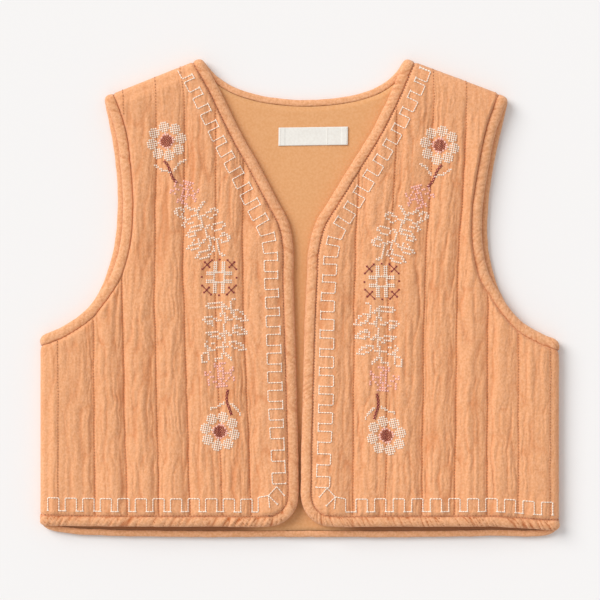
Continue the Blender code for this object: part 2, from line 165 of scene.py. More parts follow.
@dataclass(frozen=True)
class Laying:
    """How the flat cloth lies on the surface, in millimetres."""

    half_width: float = 186.8
    middle_height: float = 172.25
    hem_rise: float = 8.2
    gap: float = 0.3
    hollow: float = 1.7
    seam_wall: float = 3.2
    mouth_lift: float = 2.6
    mouth_length: float = 75.0
    mouth_side: Pair = (120.0, 52.0)
    lean: float = 4.6
    lean_stretch: Pair = (165.0, 145.0)
    top_lean: float = 1.8
    top_lean_stretch: Pair = (315.0, 33.0)
    side_drop: float = 3.4
    side_drop_start: float = 135.0
    side_drop_lengths: Pair = (52.0, 28.0)
    neck_end: Spot = Spot(73.0, 345.2)
    shoulder_tip: Spot = Spot(146.0, 317.0)
    armhole_corner: Spot = Spot(186.8, 145.5)
    hem_corner: Spot = Spot(186.8, 8.8)

    @property
    def fold_radius(self) -> float:
        """Distance from the middle of a fold to the outside of the cloth."""
        return self.hollow + self.seam_wall

    @property
    def fold_height(self) -> float:
        """Height of the middle of the folds, halfway between front and back."""
        return self.gap / 2 + self.fold_radius

    @cached_property
    def side_fold(self) -> Fold:
        """The fold at the side seam."""
        return Fold(np.array((1.0, 0.0)), self.half_width)

    @cached_property
    def shoulder_fold(self) -> Fold:
        """The fold at the shoulder seam."""
        return Fold.through(self.neck_end, self.shoulder_tip)

    def inside_folds(self, spots: Array) -> Array:
        """How far flat spots lie inside the nearest fold."""
        return -np.maximum(self.side_fold.past(spots), self.shoulder_fold.past(spots))

    def lay(self, places: Array) -> Array:
        """Lean the upper part to one side and let that side slip down.

        Args:
            places: Flat out and up and the height of each place.

        Returns:
            The laid places, in millimetres.
        """
        out, up, height = places.T
        lean = self.lean * ease((up - self.lean_stretch[0]) / self.lean_stretch[1])
        lean -= self.top_lean * ease((up - self.top_lean_stretch[0]) / self.top_lean_stretch[1])
        at_hem, at_armhole = self.side_drop_lengths
        length = at_hem + ease(up / self.armhole_corner.up) * (at_armhole - at_hem)
        drop = self.side_drop * ease((out - self.side_drop_start) / length)
        return np.stack((out + lean, up - drop - self.middle_height, height), axis=1)

    def place(self, spots: Array, outward: Array, layer: Layer) -> Array:
        """Lay flat spots of the front or the back, each moved outwards from its inner face.

        Near a fold the cloth turns a quarter round the fold's hollow, so that front and back
        meet edge to edge. The front also stands off the back in the mouth of the hem.

        Args:
            spots: Flat places.
            outward: Distance of each from the inner face of the cloth.
            layer: The half of the garment that they belong to.

        Returns:
            The laid places, in millimetres.
        """
        out, up = np.array(spots, dtype=float).T.copy()
        side = np.where(out < 0.0, -1.0, 1.0)
        reach = self.hollow + outward
        height = reach * np.ones(len(spots))
        for fold in (self.side_fold, self.shoulder_fold):
            into = fold.past(spots) + self.fold_radius
            turn = np.clip(into / self.fold_radius, 0.0, 1.0) * np.pi / 2
            shift = np.where(into > 0.0, reach * np.sin(turn) - into, 0.0)
            out += side * fold.normal[0] * shift
            up += fold.normal[1] * shift
            height = np.where(into > 0.0, reach * np.cos(turn), height)
        height = self.fold_height + layer.value * (self.gap / 2 + height)
        if layer is Layer.FRONT:
            start, length = self.mouth_side
            lift = ease(1.0 - (up - self.hem_rise) / self.mouth_length)
            lift *= 1.0 - ease((np.abs(out) - start) / length)
            height = height + self.mouth_lift * lift
        return self.lay(np.stack((out, up, height), axis=1))


LAYING = Laying()
FRONT_EDGE = (
    LAYING.neck_end,
    Spot(60.4, 319.0), Spot(46.2, 290.5), Spot(32.5, 267.5), Spot(18.7, 243.0), Spot(10.0, 227.6),
    Spot(6.0, 212.0), Spot(4.7, 184.0), Spot(3.7, 158.0), Spot(1.9, 94.0), Spot(0.8, 43.0),
)
FRONT_CORNER_RADIUS = 22.0
FRONT_CORNER_CENTRE = Spot(
    FRONT_EDGE[-1].out + FRONT_CORNER_RADIUS, LAYING.hem_rise + FRONT_CORNER_RADIUS
)
FRONT_HEM = (
    Spot(60.0, LAYING.hem_rise - 0.2),
    Spot(110.0, LAYING.hem_rise - 0.2),
    Spot(155.0, LAYING.hem_rise),
    LAYING.hem_corner,
)
BACK_NECK = (
    LAYING.neck_end,
    Spot(64.0, 333.2), Spot(53.0, 325.3), Spot(38.5, 319.9), Spot(20.0, 316.5), Spot(0.0, 315.3),
)
BACK_HEM = (
    Spot(0.0, 0.0), Spot(100.0, 0.1), Spot(140.0, 1.0), Spot(165.0, 2.5), Spot(180.0, 5.2),
    LAYING.hem_corner,
)
UNDERARM = (LAYING.armhole_corner, Spot(168.5, 153.2), Spot(154.1, 163.8))
FRONT_ARMHOLE = (
    *UNDERARM,
    Spot(144.6, 175.5), Spot(136.4, 189.0), Spot(131.2, 207.0), Spot(129.4, 236.0),
    Spot(132.4, 266.0), Spot(137.4, 294.0),
    LAYING.shoulder_tip,
)
BACK_ARMHOLE = (
    *UNDERARM,
    Spot(145.6, 175.5), Spot(139.7, 189.7), Spot(135.2, 208.0), Spot(133.6, 236.0),
    Spot(136.6, 270.0), Spot(141.6, 297.0),
    LAYING.shoulder_tip,
)


@dataclass(frozen=True)
class Edge:
    """A finished edge with the cloth on its left: spots, the ways inwards, and the run so far."""

    spots: Array
    inward: Array
    along: Array

    def inside(self, depth: Array | float) -> Array:
        """The line that lies at a depth inwards from the edge."""
        return self.spots + self.inward * np.reshape(depth, (-1, 1))

    def at(self, along: Array, depth: Array) -> Array:
        """Flat places at a run along the edge and a depth inwards from it."""
        spot = points_at(along, self.along, self.spots)
        return spot + points_at(along, self.along, self.inward) * np.reshape(depth, (-1, 1))

    def backwards(self) -> "Edge":
        """The same edge run the other way."""
        return Edge(self.spots[::-1], self.inward[::-1], self.along[-1] - self.along[::-1])

    def mirrored(self) -> "Edge":
        """The same edge on the other half, still with the cloth on its left."""
        flip = np.array((-1.0, 1.0))
        back = self.backwards()
        return Edge(back.spots * flip, back.inward * flip, back.along)


def smooth_curve(rows: tuple[Spot, ...], per_span: int = 24) -> Array:
    """Close points of a smooth curve through the rows: cubic spans that share their slopes.

    Args:
        rows: The spots that the curve passes through.
        per_span: Points for each span.

    Returns:
        The points, ending on the last row.
    """
    points = np.array(rows, dtype=float)
    chord = run_along(points)
    slope = np.gradient(points, chord, axis=0, edge_order=2)
    span = np.diff(chord)[:, None, None]
    part = (np.arange(per_span) / per_span)[None, :, None]
    start, end = points[:-1, None, :], points[1:, None, :]
    start_slope, end_slope = slope[:-1, None, :] * span, slope[1:, None, :] * span
    curve = (
        (2 * part**3 - 3 * part**2 + 1) * start
        + (part**3 - 2 * part**2 + part) * start_slope
        + (3 * part**2 - 2 * part**3) * end
        + (part**3 - part**2) * end_slope
    )
    return np.vstack((curve.reshape(-1, 2), points[-1:]))


def edge_along(
    rows: tuple[Spot, ...], start_fold: Fold, end_fold: Fold, spacing: float = 0.8
) -> Edge:
    """The finished edge through the rows, from fold to fold, with stations at equal steps.

    The way inwards is square to the edge, and near each end it is skewed to run along the fold,
    so that all pieces end on one line.

    Args:
        rows: Spots of the edge, in order, with the cloth on the left.
        start_fold: The fold on which the edge starts.
        end_fold: The fold on which it ends.
        spacing: Distance between stations.

    Returns:
        The edge.
    """
    curve = smooth_curve(rows)
    along = run_along(curve)
    tangent = np.gradient(curve, along, axis=0)
    tangent /= np.hypot(*tangent.T)[:, None]
    stations = np.linspace(0.0, along[-1], int(along[-1] / spacing) + 1)
    spots = points_at(stations, along, curve)
    ahead = points_at(stations, along, tangent)
    normal = np.stack((-ahead[:, 1], ahead[:, 0]), axis=1)

    held_depth = LAYING.fold_radius + LAYING.gap
    near_end = 60
    skew_length = 16.0
    skew = np.zeros(len(stations))
    for fold, backwards in ((start_fold, False), (end_fold, True)):
        order = slice(None, None, -1) if backwards else slice(None)
        depth = -fold.past(spots)[order]
        reach = np.interp(held_depth, depth[:near_end], stations[:near_end])
        facing = fold.normal * np.where(spots[order][:1, 0] < 0.0, (-1.0, 1.0), (1.0, 1.0))
        full = -(facing * normal[order]).sum(1) / (facing * ahead[order]).sum(1)
        fade = np.clip(1.0 - (stations - reach) / skew_length, 0.0, 1.0) ** 2
        inner = np.interp(reach, stations, full)
        part = np.where(stations <= reach, full, inner * fade)
        skew += part[order]
    return Edge(spots, normal + skew[:, None] * ahead, stations)


def mirrored_rows(rows: tuple[Spot, ...]) -> tuple[Spot, ...]:
    """Rows of an edge on the other half, in the opposite order."""
    return tuple(Spot(-row.out, row.up) for row in reversed(rows))


def front_edge() -> Edge:
    """A front's whole finished edge: neck, front, round corner and hem, shoulder to side."""
    turns = np.radians(np.linspace(180.0, 270.0, 9))
    corner = tuple(
        Spot(
            FRONT_CORNER_CENTRE.out + FRONT_CORNER_RADIUS * np.cos(turn),
            FRONT_CORNER_CENTRE.up + FRONT_CORNER_RADIUS * np.sin(turn),
        )
        for turn in turns
    )
    rows = FRONT_EDGE + corner + FRONT_HEM
    return edge_along(rows, LAYING.shoulder_fold, LAYING.side_fold)


@dataclass
class Outlines:
    """The finished edges of the front and the back."""

    front: Edge = field(default_factory=front_edge)
    front_armhole: Edge = field(
        default_factory=lambda: edge_along(FRONT_ARMHOLE, LAYING.side_fold, LAYING.shoulder_fold)
    )
    back_armhole: Edge = field(
        default_factory=lambda: edge_along(BACK_ARMHOLE, LAYING.side_fold, LAYING.shoulder_fold)
    )
    neck: Edge = field(
        default_factory=lambda: edge_along(
            BACK_NECK + mirrored_rows(BACK_NECK)[1:], LAYING.shoulder_fold, LAYING.shoulder_fold
        )
    )
    hem: Edge = field(
        default_factory=lambda: edge_along(
            mirrored_rows(BACK_HEM) + BACK_HEM[1:], LAYING.side_fold, LAYING.side_fold
        )
    )


def distance_to_line(spots: Array, line: Array, stride: int = 6, overrun: int = 8) -> Array:
    """The shortest distance from each spot to a line of straight runs, run on past its ends.

    Args:
        spots: Flat places.
        line: Close points of the line.
        stride: How many of them one straight run takes up.
        overrun: How many points at an end give the way in which the line runs on.

    Returns:
        One distance for each spot.
    """
    before, after = 2 * line[0] - line[overrun], 2 * line[-1] - line[-1 - overrun]
    line = np.vstack((before, line[::stride], line[-1:], after))
    nearest = np.full(len(spots), np.inf)
    for start, end in zip(line[:-1], line[1:]):
        run = end - start
        share = np.clip((spots - start) @ run / max(run @ run, 1e-9), 0.0, 1.0)
        away = np.linalg.norm(spots - start - share[:, None] * run, axis=1)
        nearest = np.minimum(nearest, away)
    return nearest


def distance_to_edges(spots: Array, edges: tuple[Edge, ...]) -> Array:
    """The shortest distance from each spot to any of the edges."""
    return np.min([distance_to_line(spots, edge.spots) for edge in edges], axis=0)


def shoelace(loop: Array) -> float:
    """The area inside a closed flat outline, half the sum of its cross products."""
    after = np.roll(loop, -1, axis=0)
    return abs(float((loop[:, 0] * after[:, 1] - after[:, 0] * loop[:, 1]).sum())) / 2


def zip_lines(first: Array, first_at: Array, second: Array, second_at: Array) -> Array:
    """Triangles between two lines of points, each step going on along the line that lags.

    Args:
        first: Point numbers along the first line.
        first_at: Rising parameter of each of them.
        second: Point numbers along the second line.
        second_at: Rising parameter of each of them.

    Returns:
        Triangles of point numbers, first line's edges running backwards.
    """
    steps = np.concatenate((first_at[1:], second_at[1:]))
    of_first = np.arange(len(steps)) < len(first_at) - 1
    of_first = of_first[np.argsort(steps, kind="stable")]
    i = np.append(0, np.cumsum(of_first))[:-1]
    j = np.append(0, np.cumsum(~of_first))[:-1]
    next_first = first[np.minimum(i + 1, len(first) - 1)]
    next_second = second[np.minimum(j + 1, len(second) - 1)]
    third = np.where(of_first, next_first, next_second)
    return np.stack((first[i], second[j], third), axis=1)


def grid_triangles(index: Array) -> Array:
    """Two triangles for each cell of a grid, without those that collapse.

    Args:
        index: Point numbers by row and column.

    Returns:
        Triangles of point numbers.
    """
    a, b, c, d = index[:-1, :-1], index[:-1, 1:], index[1:, 1:], index[1:, :-1]
    triangles = np.concatenate(
        (np.stack((a, b, c), axis=-1).reshape(-1, 3), np.stack((a, c, d), axis=-1).reshape(-1, 3))
    )
    one, two, three = triangles.T
    return triangles[(one != two) & (two != three) & (three != one)]


def grid_rim(grid: Array) -> Array:
    """The rim of a grid as one loop: first row, last column, last row and first column."""
    return np.concatenate((grid[0], grid[1:, -1], grid[-1, -2::-1], grid[-2:0:-1, 0]))


def signed_volume(places: Array, faces: Array) -> float:
    """Six times the volume that the faces enclose, negative if they point inwards.

    Args:
        places: The points.
        faces: Point numbers of each face, all with as many corners.

    Returns:
        The signed sum over a fan of triangles on each face.
    """
    total = 0.0
    for corner in range(1, faces.shape[1] - 1):
        first, second, third = places[faces[:, 0]], places[faces[:, corner]], places[faces[:, corner + 1]]
        total += float(np.einsum("ij,ij->", first, np.cross(second, third)))
    return total


@dataclass
class Piece:
    """A finished mesh on its way into the scene: places in millimetres, faces and extras."""

    name: str
    places: Array
    faces: Array
    caps: list[list[int]] = field(default_factory=list)
    corner_uv: Array | None = None
    # Painted shade for each point, 0 to 1, which darkens the cloth towards its valley colour
    painted_shade: Array | None = None

    def make(self, material: Material) -> bpy.types.Object:
        """Put the mesh into the scene with outward faces, smooth shading and its material.

        Args:
            material: The one material of the piece.

        Returns:
            The object, riding on its body.
        """
        used, faces = np.unique(self.faces, return_inverse=True)
        faces = faces.reshape(self.faces.shape)
        places = self.places[used]
        caps = [list(np.searchsorted(used, cap)) for cap in self.caps]
        corner_uv = self.corner_uv
        if signed_volume(places, faces) < 0.0:
            faces = faces[:, ::-1]
            caps = [cap[::-1] for cap in caps]
            corner_uv = None if corner_uv is None else corner_uv[:, ::-1]
        mesh = bpy.data.meshes.new(self.name)
        mesh.from_pydata((places * MM).tolist(), [], faces.tolist() + caps)
        if corner_uv is not None:
            layer = mesh.uv_layers.new(name="strip")
            flat = np.zeros((len(mesh.loops), 2))
            flat[: corner_uv.shape[0] * corner_uv.shape[1]] = corner_uv.reshape(-1, 2)
            layer.data.foreach_set("uv", flat.ravel())
        # Store the painted shade where the material reads it
        if self.painted_shade is not None:
            values = mesh.attributes.new("painted_shade", "FLOAT", "POINT")
            values.data.foreach_set("value", self.painted_shade[used].astype(np.float32))
        mesh.shade_smooth()
        mesh.materials.append(material)
        made = bpy.data.objects.new(self.name, mesh)
        bpy.context.scene.collection.objects.link(made)
        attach(made, BODY)
        log.info("%s: %d triangles", self.name, sum(len(p.vertices) - 2 for p in mesh.polygons))
        return made


def hex_colour(code: str) -> tuple[float, float, float, float]:
    """An sRGB hex colour as linear red, green, blue and alpha.

    Args:
        code: The colour as a hash and six hex digits.

    Returns:
        Four values from 0 to 1.
    """
    channels = np.array([int(code[i : i + 2], 16) for i in (1, 3, 5)]) / 255.0
    linear = np.where(channels <= 0.04045, channels / 12.92, ((channels + 0.055) / 1.055) ** 2.4)
    return (*linear.tolist(), 1.0)


def add_node(
    tree: Tree, kind: str, inputs: dict | None = None, **settings: object
) -> bpy.types.Node:
    """Add one shader node with its settings, and set or link its inputs.

    Args:
        tree: The material's node tree.
        kind: The node's type, without the words that all of them start with.
        inputs: Values or output sockets by input name or number.
        settings: The node's own properties.

    Returns:
        The node.
    """
    node = tree.nodes.new("ShaderNode" + kind)
    for name, value in settings.items():
        setattr(node, name, value)
    for key, value in (inputs or {}).items():
        if isinstance(value, Socket):
            tree.links.new(value, node.inputs[key])
        else:
            node.inputs[key].default_value = value
    return node


def new_material(name: str) -> tuple[Material, Tree]:
    """An empty node material and its tree."""
    material = bpy.data.materials.new(name)
    material.use_nodes = True
    material.node_tree.nodes.clear()
    return material, material.node_tree


# A wave texture of scale 1 repeats after 2 pi / 20 of a unit
WAVE_PERIOD = 0.314


@dataclass(frozen=True)
class ClothFinish:
    """A woven cloth: matte, softly fuzzy, with its weave and crepe as bump.

    The thread spacing is drawn coarser than the real 0.4 mm, as fine as it still shows.
    """

    name: str
    colour: str
    warmer: str
    # Colour of the painted shade in creases, seams and shadowed hollows
    valley: str
    thread_mm: float = 0.8
    crepe_mm: Pair = (1.25, 1.8)
    crepe_height_mm: float = 0.45
    weave_height_mm: float = 0.12
    roughness: float = 0.88
    sheen: float = 0.18
    follows_strip: bool = False
    bias_turn: float = 0.0
    patches_per_metre: float = 620.0
    patch_limits: Pair = (0.38, 0.62)
    crepe_per_metre_high: float = 300.0

    def material(self) -> Material:
        """Build the material from its dye and its relief."""
        material, tree = new_material(self.name)
        place = add_node(tree, "TexCoord").outputs["Object"]
        shader = add_node(
            tree,
            "BsdfPrincipled",
            {
                "Base Color": self.dye(tree, place),
                "Roughness": self.roughness,
                "Sheen Weight": self.sheen,
                "Sheen Roughness": 0.6,
                "Specular IOR Level": 0.25,
                "Normal": self.relief(tree, place),
            },
        )
        add_node(tree, "OutputMaterial", {"Surface": shader.outputs["BSDF"]})
        return material

    def dye(self, tree: Tree, place: Socket) -> Socket:
        """Patchy colour, darkened towards the valley colour as painted shade where the cloth is creased,
        stitched or shadowed.

        Args:
            tree: The material's node tree.
            place: The place of each point.

        Returns:
            The colour.
        """
        patches = add_node(
            tree,
            "TexNoise",
            {"Vector": place, "Scale": self.patches_per_metre, "Detail": 3.0, "Roughness": 0.6},
        )
        low, high = self.patch_limits
        mottle = add_node(
            tree, "MapRange", {"Value": patches.outputs["Fac"], "From Min": low, "From Max": high}
        )
        # Painted shade, 0 to 1, from each piece's points
        painted_shade = add_node(tree, "Attribute", attribute_name="painted_shade")
        colour = hex_colour(self.colour)
        for factor, over in (
            (mottle.outputs["Result"], self.warmer),
            (painted_shade.outputs["Fac"], self.valley),
        ):
            colour = add_node(
                tree,
                "Mix",
                {"Factor": factor, "A": colour, "B": hex_colour(over)},
                data_type="RGBA",
            ).outputs["Result"]
        return colour

    def relief(self, tree: Tree, place: Socket) -> Socket:
        """Crossing threads with the crepe on top, in the bump.

        Args:
            tree: The material's node tree.
            place: The place of each point, used where the cloth doesn't follow a strip.

        Returns:
            The bumped normal.
        """
        if self.follows_strip:
            place = add_node(tree, "UVMap", uv_map="strip").outputs["UV"]
        turned = add_node(
            tree, "Mapping", {"Vector": place, "Rotation": (0.0, 0.0, self.bias_turn)}
        ).outputs["Vector"]
        scale = WAVE_PERIOD / (self.thread_mm * MM)
        warp, weft = (
            add_node(
                tree,
                "TexWave",
                {"Vector": turned, "Scale": scale, "Distortion": 1.2, "Detail": 1.0},
                bands_direction=direction,
            )
            for direction in ("X", "Y")
        )
        weave = add_node(
            tree, "Math", {0: warp.outputs["Fac"], 1: weft.outputs["Fac"]}, operation="MULTIPLY"
        )
        across, along = (1.0 / (size * MM) for size in self.crepe_mm)
        crepe_place = add_node(
            tree,
            "Mapping",
            {"Vector": turned, "Scale": (across, along, self.crepe_per_metre_high)},
        )
        crepe = add_node(
            tree,
            "TexNoise",
            {"Vector": crepe_place.outputs["Vector"], "Scale": 1.0, "Detail": 2.0},
        )
        below = {}
        for height, size in (
            (weave.outputs["Value"], self.weave_height_mm),
            (crepe.outputs["Fac"], self.crepe_height_mm),
        ):
            inputs = {"Height": height, "Distance": size * MM, "Strength": 1.0, **below}
            below = {"Normal": add_node(tree, "Bump", inputs).outputs["Normal"]}
        return below["Normal"]


@dataclass(frozen=True)
class ThreadFinish:
    """Cotton or polyester thread: a soft gloss, slightly uneven in dye."""

    name: str
    colour: str
    darker: str
    roughness: float = 0.5
    patches_per_metre: float = 900.0
    twist_mm: float = 0.1

    def material(self) -> Material:
        """Build the material: uneven dye and a fine twist in the bump."""
        material, tree = new_material(self.name)
        place = add_node(tree, "TexCoord").outputs["Object"]
        dye = add_node(
            tree, "TexNoise", {"Vector": place, "Scale": self.patches_per_metre, "Detail": 1.0}
        )
        colour = add_node(
            tree,
            "Mix",
            {"Factor": dye.outputs["Fac"], "A": hex_colour(self.colour), "B": hex_colour(self.darker)},
            data_type="RGBA",
        )
        twist = add_node(
            tree,
            "Bump",
            {"Height": dye.outputs["Fac"], "Distance": self.twist_mm * MM, "Strength": 0.5},
        )
        shader = add_node(
            tree,
            "BsdfPrincipled",
            {
                "Base Color": colour.outputs["Result"],
                "Roughness": self.roughness,
                "Sheen Weight": 0.2,
                "Normal": twist.outputs["Normal"],
            },
        )
        add_node(tree, "OutputMaterial", {"Surface": shader.outputs["BSDF"]})
        return material


# Double gauze: two airy cotton layers, crinkled by washing, over a thin wadding; its third colour is
# painted shade for its creases and quilting lines
DOUBLE_GAUZE = ClothFinish("apricot double gauze", "#F2B081", "#E6A16E", "#C96C2E")
# Bias binding: strips of the same gauze cut across the weave, so it runs at 45 degrees; its third colour
# is painted shade in its wrinkles and in the ditch of its seam
BIAS_BINDING = ClothFinish(
    "apricot bias binding", "#F4B587", "#E29F6D", "#BC6630",
    crepe_mm=(2.4, 1.6), crepe_height_mm=0.3, follows_strip=True, bias_turn=np.pi / 4,
)
# Cotton lawn: plain weave, flat and smooth, a little more ochre than the gauze; its third colour is
# painted shadow in the mouth of the hem
LINING_LAWN = ClothFinish(
    "ochre cotton lawn", "#E6AA76", "#DFA069", "#8A4420",
    thread_mm=0.6, crepe_mm=(2.5, 3.0), crepe_height_mm=0.04, weave_height_mm=0.02, sheen=0.1,
)
# Woven polyester satin: fine ribs across the label and a slight gloss
WOVEN_SATIN = ClothFinish(
    "white woven satin", "#EFEBE3", "#E9E4DC", "#DAD3C8",
    thread_mm=0.5, crepe_mm=(0.6, 6.0), crepe_height_mm=0.02, weave_height_mm=0.03,
    roughness=0.55, sheen=0.05,
)
# Stranded embroidery cotton: soft thick threads whose mild gloss picks out every cross
CREAM_COTTON = ThreadFinish("cream embroidery cotton", "#FFF1E1", "#FAE2CB")
PINK_COTTON = ThreadFinish("pink embroidery cotton", "#FFD3C8", "#FFBDB3")
BURGUNDY_COTTON = ThreadFinish("burgundy embroidery cotton", "#9A0E2C", "#700A20")
# Apricot sewing cotton, drawn a shade darker than the cloth as painted shade, since its stitches lie sunk
# in shadow
APRICOT_COTTON = ThreadFinish("apricot sewing cotton", "#CE8B5C", "#B06D43")
# White polyester thread, fine and even, which all but vanishes on the satin
WHITE_POLYESTER = ThreadFinish("white sewing thread", "#F7F4EE", "#E9E4DA")


class QuiltLine(NamedTuple):
    """A quilting line: how far out it starts at the hem, and how far it opens for each metre up."""

    out: float
    opens: float


QUILT_LINES = {
    Side.WEARERS_RIGHT: (
        QuiltLine(8.0, 0.0), QuiltLine(34.4, 39.0), QuiltLine(55.3, 34.0), QuiltLine(78.6, 31.0),
        QuiltLine(101.1, 22.0), QuiltLine(123.9, 25.0), QuiltLine(147.4, 8.0),
        QuiltLine(173.8, 0.0), QuiltLine(198.0, 0.0),
    ),
    Side.WEARERS_LEFT: (
        QuiltLine(8.0, 0.0), QuiltLine(38.2, 5.0), QuiltLine(61.2, 14.0), QuiltLine(87.4, 14.0),
        QuiltLine(111.2, 13.0), QuiltLine(134.5, 5.0), QuiltLine(157.1, 0.0), QuiltLine(180.2, 0.0),
        QuiltLine(203.0, 0.0),
    ),
}


class CreaseScale(NamedTuple):
    """One scale of the washed-in creases, made from the size of a smooth noise.

    The noise is drawn out along the cloth, so that its zeros make long valleys. A place counts
    as valley below a limit of the ridges, with a weight.
    """

    noise: Noise
    power: float
    mean: float
    height: float
    valley_below: float = 1.0
    valley_weight: float = 0.0

    def ridges(self, out: Array, up: Array, seed: int) -> Array:
        """How high each place lies, from 0 at the bottom of a valley to 1."""
        return np.abs(self.noise.at(out, up, seed)) ** self.power

    def valleys(self, ridges: Array) -> Array:
        """How near the bottom of a valley each place lies, from 0 to the scale's weight."""
        return self.valley_weight * np.clip(1.0 - ridges / self.valley_below, 0.0, 1.0)


@dataclass
class Quilting:
    """The quilted relief of a front: pillows between stitched lines, and washed-in crinkles.

    The line under the embroidery is shallower, since the stitches hold the cloth flat there.
    Near the folds at the sides and the shoulders the pillows run out and the crinkles are calmer.
    Walls, widths and slopes are in millimetres. Shares and shades run from 0 to 1.
    """

    side: Side
    outlines: Outlines
    bound_wall: float = 1.8
    line_wall: float = 1.9
    puff: float = 3.1
    pillow_power: float = 0.72
    ditch: float = 7.0
    ditch_slope: float = 2.3
    wobble: float = 0.4
    wavers: tuple[Noise, ...] = (Noise(1.0, 24.0, 1.0, 0), Noise(0.6, 7.5, 1.0, 0))
    line_shift: float = 3.7
    drifts: tuple[Noise, ...] = (Noise(1.2, 22.0, 30.0, 1), Noise(0.8, 7.0, 7.0, 2))
    painted_shade_scales: tuple[CreaseScale, ...] = (
        CreaseScale(Noise(1.0, 4.9, 40.0, 3), 0.65, 0.49, 1.15, 0.3, 1.0),
        CreaseScale(Noise(1.0, 2.7, 21.0, 4), 0.8, 0.44, 1.0, 0.26, 0.6),
        CreaseScale(Noise(1.0, 1.8, 5.5, 5), 1.0, 0.38, 0.36),
    )
    painted_shade_strength: Noise = Noise(0.3, 15.0, 30.0, 6)
    held_crinkle: float = 0.35
    held_width: float = 3.0
    fullness: Noise = Noise(0.15, 1.0, 48.0, 7)
    channel_shift: float = 5.3
    pucker: Noise = Noise(0.3, 4.0, 3.6, 8)
    pucker_width: float = 4.0
    side_slope: float = 45.0
    side_flatness: float = 0.88
    side_calm: float = 0.45
    side_stitches: float = 0.3
    seam_slope: float = 5.5
    seam_crinkle: float = 0.4
    pulls: tuple[tuple[Spot, Spot], ...] = (
        (Spot(59.7, 232.0), Spot(42.5, 231.7)),
        (Spot(56.2, 219.5), Spot(42.2, 226.0)),
        (Spot(76.0, 262.0), Spot(66.5, 266.5)),
        (Spot(30.0, 62.0), Spot(38.0, 71.0)),
    )
    pull_bend: Noise = Noise(0.5, 1.0 / 3.0, 1.0, 9)
    pull_depth: float = 0.4
    pull_width: float = 0.8
    firm_line: int = 2
    firm_share: float = 0.5
    firm_width: float = 9.0
    stitched_width: float = 0.7
    # Strength of the painted shade in crinkle valleys and along the stitched lines
    valley_shade: float = 0.42
    stitched_shade: float = 0.6

    @property
    def seed(self) -> int:
        """First lattice of this side."""
        return 40 if self.side is Side.WEARERS_LEFT else 10

    def lines(self, up: Array) -> Array:
        """How far out each quilting line lies, with its slight waver.

        Args:
            up: Heights above the back hem.

        Returns:
            A row for each line, with one value for each height.
        """
        rows = []
        for number, line in enumerate(QUILT_LINES[self.side]):
            row = np.full(len(up), self.line_shift * number)
            waver = self.wobble * sum(noise.at(up, row, self.seed) for noise in self.wavers)
            rows.append(line.out + line.opens * MM * (up - LAYING.hem_rise) + waver)
        return np.stack(rows)

    def crinkle(self, out: Array, up: Array) -> tuple[Array, Array]:
        """Washed-in creases, mostly upright: rounded ridges between narrow wavering valleys.

        All scales of them are added, on places that broader noises have shifted.

        Args:
            out: Distance of each place from the centre line.
            up: Its height above the back hem.

        Returns:
            The height of the creased cloth about its mean, and 0 to 1 for how near the bottom
            of a valley each place lies.
        """
        shifted = out
        for drift in self.drifts:
            shifted = shifted + drift.at(out, up, self.seed)
        height, valley = 0.0, 0.0
        for scale in self.painted_shade_scales:
            ridges = scale.ridges(shifted, up, self.seed)
            height = height + scale.height * (ridges - scale.mean)
            valley = valley + scale.valleys(ridges)
        strength = 1.0 + self.painted_shade_strength.at(out, up, self.seed)
        return strength * height, np.clip(strength * valley, 0.0, 1.0)

    def pulled(self, spots: Array) -> Array:
        """Depth of the few short slanting creases, strongest halfway along each.

        Args:
            spots: Flat places, out counted away from the centre line.

        Returns:
            How far each place is pulled in.
        """
        depth = np.zeros(len(spots))
        for first, last in self.pulls:
            start, run = np.array(first), np.array(last) - np.array(first)
            share = (spots - start) @ run / (run @ run)
            aside = (spots - start) @ np.array((-run[1], run[0])) / np.hypot(*run)
            bend = self.pull_bend.at(share, 0 * share, self.seed)
            fade = ease(1.0 - np.abs(2.0 * share - 1.0))
            depth += fade * np.exp(-(((aside + bend) / self.pull_width) ** 2))
        return self.pull_depth * depth

    def relief(self, spots: Array) -> tuple[Array, Array]:
        """Wall of the cloth and the painted shade of its creases and stitched lines.

        Args:
            spots: Flat places, out counted away from the centre line.

        Returns:
            The distance from the inner face to the outer face, and 0 to 1 for the painted shade in
            crease valleys and along the stitched lines.
        """
        out, up = spots.T
        lines = self.lines(up)
        channel = np.clip((out > lines).sum(0) - 1, 0, len(lines) - 2)
        start = np.take_along_axis(lines, channel[None], 0)[0]
        end = np.take_along_axis(lines, channel[None] + 1, 0)[0]
        share = np.clip((out - start) / (end - start), 0.0, 1.0)
        to_line = np.minimum(share, 1.0 - share) * (end - start)
        inside_folds = LAYING.inside_folds(spots) - LAYING.fold_radius
        flatter = 1.0 - ease(inside_folds / self.side_slope)

        pillow = np.sin(np.pi * share) ** self.pillow_power
        to_firm = (out - lines[self.firm_line]) / self.firm_width
        pillow = pillow + self.firm_share * np.exp(-(to_firm**2)) * (1.0 - pillow)
        pillow = pillow + self.side_flatness * flatter * (1.0 - pillow)
        fullness = 1.0 + self.fullness.at(channel * self.channel_shift, up, self.seed)

        crinkle, valley = self.crinkle(out, up)
        free = np.clip(to_line / self.held_width, 0.0, 1.0)
        calmer = self.held_crinkle + (1.0 - self.held_crinkle) * free
        calmer = calmer * (1.0 - self.side_calm * flatter)
        crinkle, valley = crinkle * calmer, valley * calmer
        pucker = self.pucker.at(out, up, self.seed) * np.exp(-((to_line / self.pucker_width) ** 2))
        full = self.line_wall + self.puff * pillow * fullness + crinkle + pucker
        full = full - self.pulled(spots)

